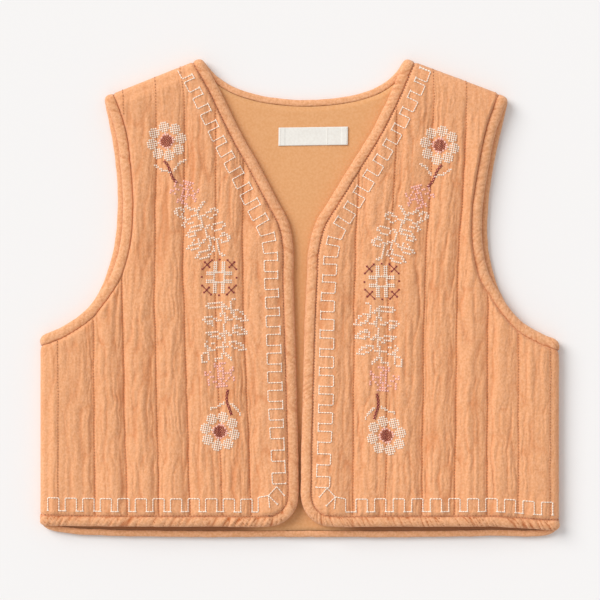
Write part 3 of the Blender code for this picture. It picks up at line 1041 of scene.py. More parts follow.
        seam = ease(1.0 - inside_folds / self.seam_slope)
        full = full + seam * (LAYING.seam_wall + self.seam_crinkle * crinkle - full)
        to_edge = distance_to_edges(spots, (self.outlines.front, self.outlines.front_armhole))
        inside = ease((to_edge - self.ditch) / self.ditch_slope)
        wall = self.bound_wall + (full - self.bound_wall) * inside
        stitched = np.exp(-((to_line / self.stitched_width) ** 2))
        stitched = stitched * (1.0 - (1.0 - self.side_stitches) * flatter)
        # Painted shade: darker in the crinkles' valleys and along the quilting lines
        shade = self.valley_shade * valley + self.stitched_shade * stitched
        return wall, np.clip(shade, 0.0, 1.0) * inside


@dataclass
class FrontPanel:
    """One quilted front: its relief on the outside over a plain inside."""

    side: Side
    outlines: Outlines
    setback: float = 1.4
    rows: int = 208
    channel_steps: int = 38
    crowding: float = 0.075
    overhang: float = 14.0
    top_clear: float = 0.1
    hem_reach: float = 20.0
    inner_stride: int = 4
    inner_columns: int = 40

    @cached_property
    def quilting(self) -> Quilting:
        """This front's relief."""
        return Quilting(self.side, self.outlines)

    @cached_property
    def sides(self) -> tuple[Array, Array]:
        """The panel's outline as two lines of spots, each rising from the hem to the neck."""
        line = self.outlines.front.inside(self.setback)
        corner = np.flatnonzero(
            (line[:, 1] < FRONT_CORNER_CENTRE.up) & (line[:, 0] > FRONT_CORNER_CENTRE.out)
        )[0]
        left = line[: corner + 1][::-1]
        arm = self.outlines.front_armhole.inside(self.setback)
        foot = np.array((LAYING.half_width, left[0, 1]))
        return left, np.vstack((foot, arm, line[:1]))

    def hem_height(self, out: Array) -> Array:
        """How far above its lowest row the panel's hem lies."""
        line = self.outlines.front.inside(self.setback)
        hem = line[np.flatnonzero(line[:, 0] > FRONT_CORNER_CENTRE.out)]
        hem = hem[hem[:, 1] < FRONT_CORNER_CENTRE.up]
        lowest = self.sides[0][0, 1]
        return np.interp(out, hem[:, 0], hem[:, 1], left=lowest) - lowest

    def spots_at(self, out: Array, up: Array) -> Array:
        """Flat places from row coordinates: rows near the hem follow its slight curve."""
        near = ease(1.0 - (up - self.sides[0][0, 1]) / self.hem_reach)
        return np.stack((out.ravel(), (up + near * self.hem_height(out)).ravel()), axis=1)

    def columns(self, heights: Array) -> Array:
        """Columns along the quilting lines, closer beside them than between them.

        Args:
            heights: The height of each row.

        Returns:
            How far out each column lies, by row and column.
        """
        lines = self.quilting.lines(heights)
        lines = np.vstack((lines[:1] - self.overhang, lines))
        part = np.arange(self.channel_steps) / self.channel_steps
        part = part - self.crowding * np.sin(2 * np.pi * part)
        between = lines[:-1, :, None] * (1.0 - part) + lines[1:, :, None] * part
        columns = np.moveaxis(between, 0, 1).reshape(len(heights), -1)
        return np.concatenate((columns, lines[-1][:, None]), axis=1)

    def mesh(self) -> tuple[Piece, float]:
        """The panel's closed mesh and its flat area.

        Rows lie at equal heights. Columns that reach past the outline end on it, so the outline
        stays exact.

        Returns:
            The piece, and its area in square millimetres.
        """
        left, right = self.sides
        heights = np.linspace(left[0, 1], left[-1, 1] - self.top_clear, self.rows + 1)
        low = np.interp(heights, left[:, 1], left[:, 0])
        high = np.interp(heights, right[:, 1], right[:, 0])
        columns = self.columns(heights)
        count = columns.shape[1]
        first = np.maximum((columns <= low[:, None]).sum(1) - 1, 0)
        last = np.minimum((columns < high[:, None]).sum(1), count - 1)
        column = np.clip(np.arange(count)[None], first[:, None], last[:, None])
        index = np.arange(len(heights))[:, None] * count + column
        out = np.clip(columns, low[:, None], high[:, None])
        up = np.broadcast_to(heights[:, None], out.shape)
        spots = self.spots_at(out, up)
        wall, painted_shade = self.quilting.relief(spots)

        inner_heights = heights[:: self.inner_stride]
        share = np.linspace(0.0, 1.0, self.inner_columns + 1)
        inner_low, inner_high = low[:: self.inner_stride], high[:: self.inner_stride]
        inner_out = inner_low[:, None] + share * (inner_high - inner_low)[:, None]
        inner_up = np.broadcast_to(inner_heights[:, None], inner_out.shape)
        inner_spots = self.spots_at(inner_out, inner_up)
        inner_index = len(spots) + np.arange(inner_out.size).reshape(inner_out.shape)

        rows = np.arange(len(heights))
        outer_left, outer_right = index[rows, first], index[rows, last]
        foot = slice(first[0], last[0] + 1)
        top = slice(first[-1], last[-1] + 1)
        faces = np.vstack((
            grid_triangles(index),
            grid_triangles(inner_index)[:, ::-1],
            zip_lines(outer_left, heights, inner_index[:, 0], inner_heights)[:, ::-1],
            zip_lines(outer_right, heights, inner_index[:, -1], inner_heights),
            zip_lines(index[0, foot], out[0, foot], inner_index[0], inner_out[0]),
            zip_lines(index[-1, top], out[-1, top], inner_index[-1], inner_out[-1])[:, ::-1],
        ))
        flip = np.array((self.side.value, 1.0))
        places = np.vstack((
            LAYING.place(spots * flip, wall, Layer.FRONT),
            LAYING.place(inner_spots * flip, np.zeros(len(inner_spots)), Layer.FRONT),
        ))
        painted_shade = np.append(painted_shade, np.zeros(len(inner_spots)))
        area = shoelace(np.vstack((left, right[::-1])))
        return Piece(f"{self.side.word}_front_quilting", places, faces, painted_shade=painted_shade), area

    def build(self, material: Material) -> None:
        """Make the panel and hide the imported part that it stands in for."""
        piece, area = self.mesh()
        made = piece.make(material)
        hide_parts(f"{self.side.word}_front")


def resample(line: Array, count: int) -> Array:
    """Spots at equal steps along a line of straight runs."""
    along = run_along(line)
    return points_at(np.linspace(0.0, along[-1], count + 1), along, line)


def join_lines(lines: list[Array], counts: list[int]) -> Array:
    """Spots along lines that follow each other.

    Args:
        lines: The lines, each starting where the last one ends.
        counts: Steps for each line.

    Returns:
        The spots, with those that two lines share only once.
    """
    parts = [resample(line, count) for line, count in zip(lines, counts)]
    return np.vstack([part[:-1] for part in parts[:-1]] + [parts[-1]])


def patch(bottom: Array, top: Array, left: Array, right: Array) -> Array:
    """Spots over a shape with four sides: each side's own form fades out towards its opposite.

    The two mixes of opposite sides are added, and the mix of the four corners is taken away.

    Args:
        bottom: Spots of the lowest row.
        top: Spots of the highest row, as many.
        left: Spots of the first column.
        right: Spots of the last column, as many.

    Returns:
        A grid of spots.
    """
    u = np.linspace(0.0, 1.0, len(bottom))[None, :, None]
    v = np.linspace(0.0, 1.0, len(left))[:, None, None]
    upright = (1.0 - v) * bottom[None] + v * top[None]
    sideways = (1.0 - u) * left[:, None] + u * right[:, None]
    corners = (1.0 - v) * ((1.0 - u) * bottom[0] + u * bottom[-1])
    corners = corners + v * ((1.0 - u) * top[0] + u * top[-1])
    return upright + sideways - corners


@dataclass
class BackPanel:
    """The back: flat on the surface, with the quilting lines sunk into its underside."""

    outlines: Outlines
    setback: float = 1.4
    bound_wall: float = 1.8
    ditch: float = 7.5
    ditch_slope: float = 2.45
    groove: float = 1.1
    groove_width: float = 1.6
    line_gap: float = 23.4
    waver: Noise = Noise(0.5, 24.0, 1.0, 71)
    drift: Noise = Noise(2.0, 30.0, 26.0, 72)
    dips: Noise = Noise(1.0, 4.6, 38.0, 73)
    dip: float = 0.3
    seam_slope: float = 6.0
    steps: tuple[int, int, int, int] = (44, 108, 72, 108)
    stride: int = 4

    def sides(self, depth: float) -> tuple[Array, Array, Array, Array, Array, Array]:
        """The outline at a depth inside the finished edges: hem, neck, sides and armholes."""
        hem = self.outlines.hem.inside(depth)
        neck = self.outlines.neck.inside(depth)[::-1]
        arm = self.outlines.back_armhole.inside(depth)
        flip = np.array((-1.0, 1.0))
        return hem, neck, arm * flip, arm, hem[0], hem[-1]

    def spots(self) -> Array:
        """A grid of spots over the whole back, in rows from the hem up to the neck.

        The four counts of steps are along a shoulder, the neck, a side and an armhole.
        """
        shoulder, neck_steps, side, armhole = self.steps
        hem, neck, left_arm, right_arm, left_foot, right_foot = self.sides(self.setback)
        bottom = resample(hem, 2 * shoulder + neck_steps)
        left_shoulder = np.vstack((left_arm[-1], neck[0]))
        right_shoulder = np.vstack((neck[-1], right_arm[-1]))
        top = join_lines([left_shoulder, neck, right_shoulder], [shoulder, neck_steps, shoulder])
        left = join_lines([np.vstack((left_foot, left_arm[0])), left_arm], [side, armhole])
        right = join_lines([np.vstack((right_foot, right_arm[0])), right_arm], [side, armhole])
        return patch(bottom, top, left, right)

    def wall(self, spots: Array) -> Array:
        """Wall of the back: thin under bindings, else full less its grooves and crinkles.

        Args:
            spots: Flat places.

        Returns:
            The distance from the inner face to the outer face at each.
        """
        arm = self.outlines.back_armhole
        edges = (self.outlines.hem, self.outlines.neck, arm, arm.mirrored())
        to_edge = distance_to_edges(spots, edges)
        out, up = spots.T
        waver = self.waver.at(up, np.round(out / self.line_gap))
        away = out - waver - self.line_gap * np.round((out - waver) / self.line_gap)
        sunk = self.groove * np.exp(-((away / self.groove_width) ** 2))
        shifted = out + self.drift.at(out, up)
        dips = self.dip * (1.0 - np.abs(self.dips.at(shifted, up)))
        inside_fold = ease((LAYING.inside_folds(spots) - LAYING.fold_radius) / self.seam_slope)
        full = LAYING.seam_wall - (sunk + dips) * inside_fold
        share = ease((to_edge - self.ditch) / self.ditch_slope)
        return self.bound_wall + (full - self.bound_wall) * share

    def build(self, material: Material) -> None:
        """Make the back and hide the imported part that it stands in for."""
        outer = self.spots()
        inner = outer[:: self.stride, :: self.stride]
        wall = self.wall(outer.reshape(-1, 2))
        index = np.arange(outer.shape[0] * outer.shape[1]).reshape(outer.shape[:2])
        inner_index = index.size + np.arange(inner.shape[0] * inner.shape[1])
        inner_index = inner_index.reshape(inner.shape[:2])
        rows, columns = (np.arange(size, dtype=float) for size in index.shape)
        inner_rows, inner_columns = rows[:: self.stride], columns[:: self.stride]
        faces = np.vstack((
            grid_triangles(index),
            grid_triangles(inner_index)[:, ::-1],
            zip_lines(index[:, 0], rows, inner_index[:, 0], inner_rows)[:, ::-1],
            zip_lines(index[:, -1], rows, inner_index[:, -1], inner_rows),
            zip_lines(index[0], columns, inner_index[0], inner_columns),
            zip_lines(index[-1], columns, inner_index[-1], inner_columns)[:, ::-1],
        ))
        flat_inner = inner.reshape(-1, 2)
        places = np.vstack((
            LAYING.place(outer.reshape(-1, 2), wall, Layer.BACK),
            LAYING.place(flat_inner, np.zeros(len(flat_inner)), Layer.BACK),
        ))
        painted_shade = np.zeros(len(places))
        made = Piece("back_quilting", places, faces, painted_shade=painted_shade).make(material)
        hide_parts("back")


def closed_sheet(upper: Array, lower: Array) -> tuple[Array, Array]:
    """A closed sheet from its two faces.

    Args:
        upper: Grid of places of the upper face.
        lower: Grid of the same size below it.

    Returns:
        All places, and the triangles.
    """
    rows, columns = upper.shape[:2]
    index = np.arange(rows * columns).reshape(rows, columns)
    under = index + index.size
    loop = grid_rim(index)
    after = np.roll(loop, -1)
    rim = np.vstack((
        np.stack((loop, loop + index.size, after + index.size), axis=1),
        np.stack((loop, after + index.size, after), axis=1),
    ))
    faces = np.vstack((grid_triangles(index), grid_triangles(under)[:, ::-1], rim))
    return np.vstack((upper.reshape(-1, 3), lower.reshape(-1, 3))), faces


@dataclass
class Lining:
    """The back's lining, smooth lawn with a few soft rolls where it isn't pressed down."""

    outlines: Outlines
    depth: float = 4.9
    wall: float = 1.0
    bottom: float = 3.5
    rolls: Noise = Noise(0.3, 26.0, 48.0, 81)
    roll_slant: float = 26.0 / 60.0
    ripples: Noise = Noise(0.07, 9.0, 13.0, 82)
    # Painted shadow in the mouth of the hem: its strength, where it starts and how far it fades in
    shade: float = 0.75
    shade_from: Spot = Spot(18.0, 60.0)
    shade_reach: float = 30.0
    lower_wall: float = 0.8
    back_clear: float = 0.05
    steps: tuple[int, int, int, int] = (20, 54, 34, 50)

    def top_height(self, spots: Array) -> Array:
        """Height of the lining's upper face: flat, with slow rolls."""
        out, up = spots.T
        rolls = self.rolls.at(out + self.roll_slant * up, up)
        return self.bottom + self.wall + rolls + self.ripples.at(out, up)

    def mouth_shade(self, spots: Array) -> Array:
        """Painted shadow in the mouth of the hem, under the lifted front, 0 to 1."""
        out, up = spots.T
        aside = ease((np.abs(out) - self.shade_from.out) / self.shade_reach)
        return self.shade * aside * ease((self.shade_from.up - up) / self.shade_reach)

    def build(self, material: Material) -> None:
        """Make the lining and hide the imported part that it stands in for."""
        grid = BackPanel(self.outlines, setback=self.depth, steps=self.steps).spots()
        spots = grid.reshape(-1, 2)
        held = -LAYING.fold_radius - LAYING.gap
        for fold in (LAYING.side_fold, LAYING.shoulder_fold):
            past = np.maximum(fold.past(spots) - held, 0.0)
            side = np.where(spots[:, :1] < 0.0, (-1.0, 1.0), (1.0, 1.0))
            spots = spots - past[:, None] * fold.normal * side
        height = self.top_height(spots)
        upper = LAYING.lay(np.column_stack((spots, height))).reshape(*grid.shape[:2], 3)
        lower = LAYING.lay(np.column_stack((spots, height - self.lower_wall)))
        lower[:, 2] = np.maximum(lower[:, 2], LAYING.seam_wall + self.back_clear)
        places, faces = closed_sheet(upper, lower.reshape(upper.shape))
        # The lining carries the painted shadow of the hem's mouth on both faces
        made = Piece(
            "back_lawn_lining", places, faces, painted_shade=np.tile(self.mouth_shade(spots), 2)
        ).make(material)
        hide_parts("back_lining")


@dataclass
class NeckLabel:
    """The bare woven label: turned ends, a joint between its two parts, and its sewing."""

    lining: Lining
    width: float = 50.0
    height: float = 13.2
    centre: Spot = Spot(5.4, 289.0)
    tilt: float = 0.014
    joint: float = 9.6
    joint_step: float = 0.14
    turned_end: float = 5.0
    turned_wall: float = 0.22
    waves: Noise = Noise(0.1, 9.0, 7.0, 91)
    clear: float = 0.25
    wall: float = 0.55
    thread: float = 0.17
    stitch: float = 0.85
    stitch_pitch: float = 1.3
    seam_inset: float = 1.1
    seam_margins: Pair = (0.9, 0.6)
    joint_seam: float = 0.6
    rim_slope: float = 0.35
    fold_slope: float = 0.8
    joint_slope: float = 0.5
    steps: tuple[int, int] = (120, 40)

    def flat(self, across: Array, upward: Array) -> Array:
        """Flat places from label coordinates, turned by the label's tilt."""
        cos, sin = np.cos(self.tilt), np.sin(self.tilt)
        out = self.centre.out + across * cos - upward * sin
        up = self.centre.up + across * sin + upward * cos
        return np.stack((out.ravel(), up.ravel()), axis=1)

    def top(self, across: Array, upward: Array) -> Array:
        """Places of the label's face: crowned rims, thicker turned ends and a step at the joint.

        Args:
            across: Distance of each place from the label's middle, along it.
            upward: The same square to it.

        Returns:
            The laid places, in millimetres.
        """
        rim = np.minimum(self.width / 2 - np.abs(across), self.height / 2 - np.abs(upward))
        thick = self.wall * ease((rim + self.rim_slope) / (2.0 * self.rim_slope))
        from_fold = np.abs(across) - self.width / 2 + self.turned_end
        thick = thick + self.turned_wall * ease(from_fold / self.fold_slope)
        thick = thick + self.joint_step * ease((across - self.joint) / self.joint_slope)
        thick = thick + self.waves.at(across, upward)
        spots = self.flat(across, upward)
        height = self.lining.top_height(spots) + self.clear + thick.ravel()
        return LAYING.lay(np.column_stack((spots, height)))

    def build(self, satin: Material, thread: Material) -> None:
        """Make the label and the stitches that hold it."""
        across, upward = np.meshgrid(
            np.linspace(-self.width / 2, self.width / 2, self.steps[0] + 1),
            np.linspace(-self.height / 2, self.height / 2, self.steps[1] + 1),
        )
        upper = self.top(across, upward).reshape(*across.shape, 3)
        spots = self.flat(across, upward)
        below = self.lining.top_height(spots) + self.clear
        lower = LAYING.lay(np.column_stack((spots, below))).reshape(upper.shape)
        places, faces = closed_sheet(upper, lower)
        label = Piece("neck_label_satin", places, faces, painted_shade=np.zeros(len(places))).make(satin)
        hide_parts("neck_label")
        low, high = self.seam_margins
        rows = np.arange(-self.height / 2 + low, self.height / 2 - high, self.stitch_pitch)
        inset = self.width / 2 - self.seam_inset
        seams = (-inset, self.joint + self.joint_seam, inset)
        starts = np.array([(seam, row) for seam in seams for row in rows])
        ends = starts + np.array((0.0, self.stitch))
        stitches = StitchTubes(self.thread, 4, self.stitch_places)
        sewing = stitches.piece("neck_label_sewing", starts, ends).make(thread)

    def stitch_places(self, spots: Array, lift: Array) -> Array:
        """Places on the label's face, lifted off it."""
        places = self.top(spots[:, 0], spots[:, 1])
        places[:, 2] += lift
        return places


@dataclass
class StitchTubes:
    """Short stitches as arched tubes on a surface.

    Each stitch has four stations. Its ends dive into the cloth and its middle stands proud. Round
    each station lie the corners of a small polygon: the cosine goes across the stitch and the
    sine goes away from the cloth.
    """

    radius: float
    corners: int
    placing: Callable[[Array, Array], Array]
    sunk: float = 0.6
    proud: float = 0.8

    def piece(self, name: str, starts: Array, ends: Array) -> Piece:
        """All stitches as one mesh.

        Args:
            name: The piece's name.
            starts: Where each stitch comes up, in the surface's flat coordinates.
            ends: Where each goes down.

        Returns:
            The piece.
        """
        share = np.array((0.0, 0.3, 0.7, 1.0))
        arch = np.array((-self.sunk, self.proud, self.proud, -self.sunk)) * self.radius
        run = ends - starts
        ahead = run / np.maximum(np.linalg.norm(run, axis=1), 1e-6)[:, None]
        across = np.stack((-ahead[:, 1], ahead[:, 0]), axis=1)
        angle = 2 * np.pi * (np.arange(self.corners) + 0.5) / self.corners
        middle = starts[:, None] + share[None, :, None] * run[:, None]
        offset = self.radius * np.cos(angle)[None, None, :, None] * across[:, None, None, :]
        spots = middle[:, :, None, :] + offset
        lift = arch[None, :, None] + self.radius * np.sin(angle)[None, None, :]
        lift = np.broadcast_to(lift, spots.shape[:3])
        places = self.placing(spots.reshape(-1, 2), lift.ravel())

        ring = np.arange(self.corners)
        station = np.arange(len(share) - 1)[:, None] * self.corners
        here, after = station + ring, station + np.roll(ring, -1)
        quads = np.stack((here, after, after + self.corners, here + self.corners), axis=-1)
        quads = quads.reshape(-1, 4)
        sides = np.vstack((quads[:, (0, 1, 2)], quads[:, (0, 2, 3)]))
        fan = np.stack((np.zeros(self.corners - 2, int), ring[2:], ring[1:-1]), axis=1)
        last = (len(share) - 1) * self.corners
        one = np.vstack((sides, fan, last + fan[:, ::-1]))
        stride = len(share) * self.corners
        faces = (np.arange(len(starts))[:, None, None] * stride + one[None]).reshape(-1, 3)
        return Piece(name, places, faces)


@dataclass
class Binding:
    """A strip folded round an edge: a plump outer leg and a narrower inner leg.

    The section and the places on it are given as depth inwards from the edge and distance
    outwards from the cloth's inner face.
    """

    name: str
    node: str
    parts: list[tuple[Edge, Layer, int]]
    closed: bool
    seed: int
    gathered_from: float = 0.0
    wrinkle: float = 0.75
    gathered: float = 1.7
    fade: float = 45.0
    slant: float = 0.6
    wrinkles: Noise = Noise(1.0, 1.9, 15.0, 0)
    swells: Noise = Noise(0.12, 8.0, 1.0, 1)
    waver: Noise = Noise(0.14, 5.0, 1.0, 2)
    gathers: Noise = Noise(0.3, 26.0, 1.0, 3)
    wrinkle_power: float = 0.7
    wrinkle_mean: float = 0.45
    wrinkled_from: float = -0.3
    wrinkled_over: float = 1.5
    # Painted shade in the wrinkles' valleys and along the seam in the ditch
    wrinkle_shade: float = 0.9
    shade_below: float = 0.3
    seam: Pair = (7.2, 2.3)
    seam_shade: float = 0.6
    seam_spread: float = 0.5
    inner_corner: Pair = (4.4, 2.1)
    section: Line = (
        (7.2, 2.1), (7.25, 2.5), (6.9, 2.95), (6.2, 3.25), (5.2, 3.45), (4.2, 3.5), (3.2, 3.4),
        (2.3, 3.15), (1.5, 2.75), (0.8, 2.2), (0.3, 1.5), (0.0, 0.8), (0.1, 0.0), (0.5, -0.6),
        (1.2, -1.05), (2.2, -1.25), (3.4, -1.3), (4.4, -1.2), (4.65, -0.8), (4.6, -0.3),
        (2.8, -0.3), (1.3, -0.25), (1.1, 0.2), (1.1, 1.7), (1.5, 2.1), (4.4, 2.1),
    )
    cut_width: float = 15.8

    def rings(
        self, edge: Edge, layer: Layer, side: int, start: float
    ) -> tuple[Array, Array, Array]:
        """The section at every station of an edge, laid, with the wrinkles of a turned strip.

        Args:
            edge: The finished edge.
            layer: The half of the garment.
            side: 1 for the wearer's left half, -1 for the right.
            start: Run of the strip before this edge.

        Returns:
            Places by station and corner, the run of each station, and the painted shade in the ditch and
            the wrinkles.
        """
        inward, outward = np.array(self.section).T
        along = (edge.along + start)[:, None] + 0 * inward
        skewed = along + self.slant * inward
        wrinkle = np.abs(self.wrinkles.at(skewed, inward + 0 * along, self.seed))
        wrinkle = wrinkle**self.wrinkle_power
        patches = 1.0 - self.gathers.height + self.gathers.at(along, 0 * along, self.seed)
        more = ease((along - self.gathered_from) / self.fade) if self.gathered_from else 0.0
        folds = (self.wrinkle + more * (self.gathered - self.wrinkle)) * patches
        visible = np.clip((outward - self.wrinkled_from) / self.wrinkled_over, 0.0, 1.0)
        from_corner = np.array(self.section) - self.inner_corner
        visible = visible * (np.abs(from_corner).sum(1) > 0.1)
        swell = self.swells.at(along, 0 * along, self.seed)
        height = outward + visible * (folds * (wrinkle - self.wrinkle_mean) + swell)
        depth = inward + self.waver.at(along, 0 * along, self.seed)
        spots = edge.spots[:, None] + edge.inward[:, None] * depth[:, :, None]
        spots = spots.reshape(-1, 2) * np.array((side, 1.0))
        places = LAYING.place(spots, height.ravel(), layer)
        places[:, 2] = np.maximum(places[:, 2], 0.0)
        # Painted shade: a dark line along the ditch and darker wrinkle valleys
        from_seam = np.array(self.section) - self.seam
        seam_ditch_shade = self.seam_shade * np.exp(-(from_seam**2).sum(1) / self.seam_spread)
        valley = np.clip(1.0 - wrinkle / self.shade_below, 0.0, 1.0)
        painted_shade = seam_ditch_shade + visible * self.wrinkle_shade * folds * valley
        shape = (len(edge.spots), len(inward))
        return places.reshape(*shape, 3), edge.along + start, np.clip(painted_shade, 0.0, 1.0)

    def build(self, material: Material) -> None:
        """Make the strip and hide the imported part that it stands in for."""
        rings, runs, painted_shades, total = [], [], [], 0.0
        for edge, layer, side in self.parts:
            places, run, painted_shade = self.rings(edge, layer, side, total)
            rings.append(places)
            runs.append(run)
            painted_shades.append(painted_shade)
            total = run[-1] + LAYING.gap
        places, run = np.vstack(rings), np.concatenate(runs)
        count, size = places.shape[:2]
        steps = count if self.closed else count - 1
        station, corner = np.meshgrid(np.arange(steps), np.arange(size), indexing="ij")
        girth = run_along(np.array((*self.section, self.section[0])))
        run = np.append(run, run[-1] + LAYING.gap)
        faces, corner_uv = [], []
        for ahead, after in ((0, 0), (0, 1), (1, 1), (1, 0)):
            faces.append((station + ahead) % count * size + (corner + after) % size)
            corner_uv.append(np.stack((run[station + ahead], girth[corner + after]), axis=-1))
        faces = np.stack(faces, axis=-1).reshape(-1, 4)
        corner_uv = np.stack(corner_uv, axis=-2).reshape(-1, 4, 2) * MM
        caps = []
        if not self.closed:
            caps = [list(range(size))[::-1], list(range((count - 1) * size, count * size))]
        made = Piece(
            self.name, places.reshape(-1, 3), faces, caps, corner_uv, np.vstack(painted_shades).ravel()
        ).make(material)
        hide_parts(self.node)


@dataclass
class Embroidery:
    """The thread work of one front, charted once for the wearer's right and turned for the left.

    Places are flat, in millimetres. The other front's motifs lie slightly lower and lean the
    other way, by a shift and a slope.
    """

    panel: FrontPanel
    left_shift: Pair = (5.1, -3.0)
    left_slope: float = -0.0407
    left_slope_from: float = 75.0

    def fitted(self, spots: Array) -> Array:
        """Charted places moved to where this front has them.

        Args:
            spots: Places as charted for the wearer's right.

        Returns:
            The same places, or the other front's.
        """
        if self.panel.side is Side.WEARERS_RIGHT:
            return spots
        out, up = spots[..., 0], spots[..., 1]
        out = out + self.left_shift[0] + self.left_slope * (up - self.left_slope_from)
        return np.stack((out, up + self.left_shift[1]), axis=-1)

    def places(self, spots: Array, lift: Array) -> Array:
        """Places on the quilted face, lifted off it.

        Args:
            spots: Flat places, out counted away from the centre line.
            lift: How far off the face each lies.

        Returns:
            The laid places, in millimetres.
        """
        wall, _ = self.panel.quilting.relief(spots)
        flip = np.array((self.panel.side.value, 1.0))
        return LAYING.place(spots * flip, wall + lift, Layer.FRONT)


# Cross stitches as pairs of threads, in cells of the lattice
UPRIGHT_CROSS = np.array((((-0.55, 0.0), (0.55, 0.0)), ((0.0, -0.55), (0.0, 0.55))))
SLANTING_CROSS = np.array((((-0.5, -0.5), (0.5, 0.5)), ((-0.5, 0.5), (0.5, -0.5))))
SMALL_CROSS = 0.74 * SLANTING_CROSS

# A leaf's narrowing for each millimetre towards its tip, its margin and its row's depth in cells
OVAL_TAPER = 0.03
OVAL_MARGIN = 0.35
OVAL_ROW = (1.25, 1.15)


@dataclass(frozen=True)
class Lattice:
    """The counted threads that a motif is stitched on: a centre, a turn and a cell size."""

    centre: Spot
    turn: float
    cell: float

    def spots(self, cells: Array) -> Array:
        """Flat places of lattice coordinates."""
        cos, sin = np.cos(self.turn), np.sin(self.turn)
        across, upward = cells[..., 0] * self.cell, cells[..., 1] * self.cell
        turned = np.stack((across * cos - upward * sin, across * sin + upward * cos), axis=-1)
        return turned + np.array(self.centre)

    def cells(self, spots: Array) -> Array:
        """Lattice coordinates of flat places."""
        cos, sin = np.cos(self.turn), np.sin(self.turn)
        across, upward = np.moveaxis(spots - np.array(self.centre), -1, 0) / self.cell
        return np.stack((across * cos + upward * sin, upward * cos - across * sin), axis=-1)

    def stitches(self, cells: Array, kind: Array) -> Array:
        """The start and end of every thread of one kind of stitch, on every cell."""
        ends = np.array(cells, dtype=float)[:, None, None] + kind[None]
        return self.spots(ends).reshape(-1, 2, 2)

    def square(self, half: int) -> Array:
        """All cells out to a number of steps from the centre."""
        steps = np.arange(-half, half + 1)
        return np.stack(np.meshgrid(steps, steps), axis=-1).reshape(-1, 2).astype(float)

    def along(self, line: Line, spacing: float = 0.4) -> Array:
        """The cells that a line of straight runs passes through, tried at close steps."""
        spots = resample(np.array(line), int(run_along(np.array(line))[-1] / spacing) + 1)
        return np.unique(np.round(self.cells(spots)), axis=0)

    def oval(self, middle: Spot, length: float, width: float, way: Pair) -> Array:
        """The cells round an oval, two deep at its tip; a narrow oval is filled.

        A cell belongs where (forward/a)^2 + (aside/b)^2 < 1 with the oval's own half axes, and
        not with half axes that are a thread row shorter.

        Args:
            middle: The oval's middle.
            length: Its length along the way from stem to tip.
            width: Its width, before it narrows towards the tip.
            way: The way from stem to tip.

        Returns:
            The cells, in lattice coordinates.
        """
        cells = self.square(16) + np.round(self.cells(np.array(middle)))
        away = self.spots(cells) - np.array(middle)
        ahead = np.array(way) / np.hypot(*way)
        forward = away @ ahead
        aside = away @ np.array((-ahead[1], ahead[0])) / (1.0 - OVAL_TAPER * forward)
        half_length, half_width = length / 2 + OVAL_MARGIN, width / 2 + OVAL_MARGIN
        inner_length = half_length - OVAL_ROW[0] * self.cell
        inner_width = max(half_width - OVAL_ROW[1] * self.cell, 0.3)
        inside = (forward / half_length) ** 2 + (aside / half_width) ** 2 < 1.0
        hollow = ((forward + 0.5) / inner_length) ** 2 + (aside / inner_width) ** 2 < 1.0
        return cells[inside & ~hollow]


# A leaf of a sprig: its middle, length and width, and the way from the stem to the tip
Leaf = tuple[Spot, float, float, Pair]
UPPER_LEAVES = (
    (Spot(88.9, 234.2), 6.6, 6.4, (1.0, 0.4)),
    (Spot(76.6, 222.4), 10.0, 4.0, (1.0, -0.25)),
    (Spot(79.6, 218.0), 7.6, 3.4, (1.0, -0.25)),
    (Spot(77.3, 209.4), 9.4, 4.2, (1.0, -0.25)),
    (Spot(69.8, 203.6), 13.0, 5.4, (1.0, -0.35)),
    (Spot(64.8, 233.4), 10.6, 6.0, (-1.0, 0.45)),
    (Spot(59.9, 224.3), 10.6, 6.0, (-1.0, 0.3)),
    (Spot(55.2, 215.6), 7.8, 7.0, (-1.0, 0.4)),
)
UPPER_STEMS = (
    ((84.0, 238.4), (81.4, 236.6), (78.1, 236.6), (75.3, 233.4), (75.5, 231.1), (73.3, 229.1),
     (72.1, 226.3), (71.3, 223.1)),
    ((71.3, 241.3), (74.3, 236.6)),
    ((78.9, 230.9), (71.3, 232.0)),
    ((86.7, 230.9), (83.6, 228.7), (81.2, 229.7)),
    ((83.6, 228.7), (86.0, 224.7), (84.0, 223.1)),
    ((81.2, 226.1), (79.2, 226.3)),
    ((78.3, 211.9), (77.1, 214.2)),
    ((73.7, 214.9), (72.9, 211.7), (69.4, 214.1)),
    ((66.2, 225.5), (69.4, 221.6), (67.8, 217.6), (66.2, 214.9), (65.4, 211.3), (66.6, 208.5)),
    ((65.4, 215.6), (60.3, 214.5), (59.5, 207.0), (58.5, 203.8), (54.8, 203.0)),
    ((63.0, 210.1), (61.5, 207.0)),
)
LOWER_LEAVES = (
    (Spot(60.8, 167.3), 12.8, 5.2, (1.0, -0.12)),
    (Spot(65.4, 157.3), 8.6, 3.6, (1.0, -0.1)),
    (Spot(61.2, 146.4), 13.4, 4.4, (1.0, 0.2)),
    (Spot(68.0, 129.3), 7.2, 7.0, (0.2, -1.0)),
    (Spot(42.7, 159.6), 12.2, 6.0, (-1.0, -0.7)),
    (Spot(43.4, 149.0), 11.6, 5.6, (-1.0, -0.25)),
    (Spot(44.5, 137.9), 12.6, 5.2, (-1.0, -0.4)),
)
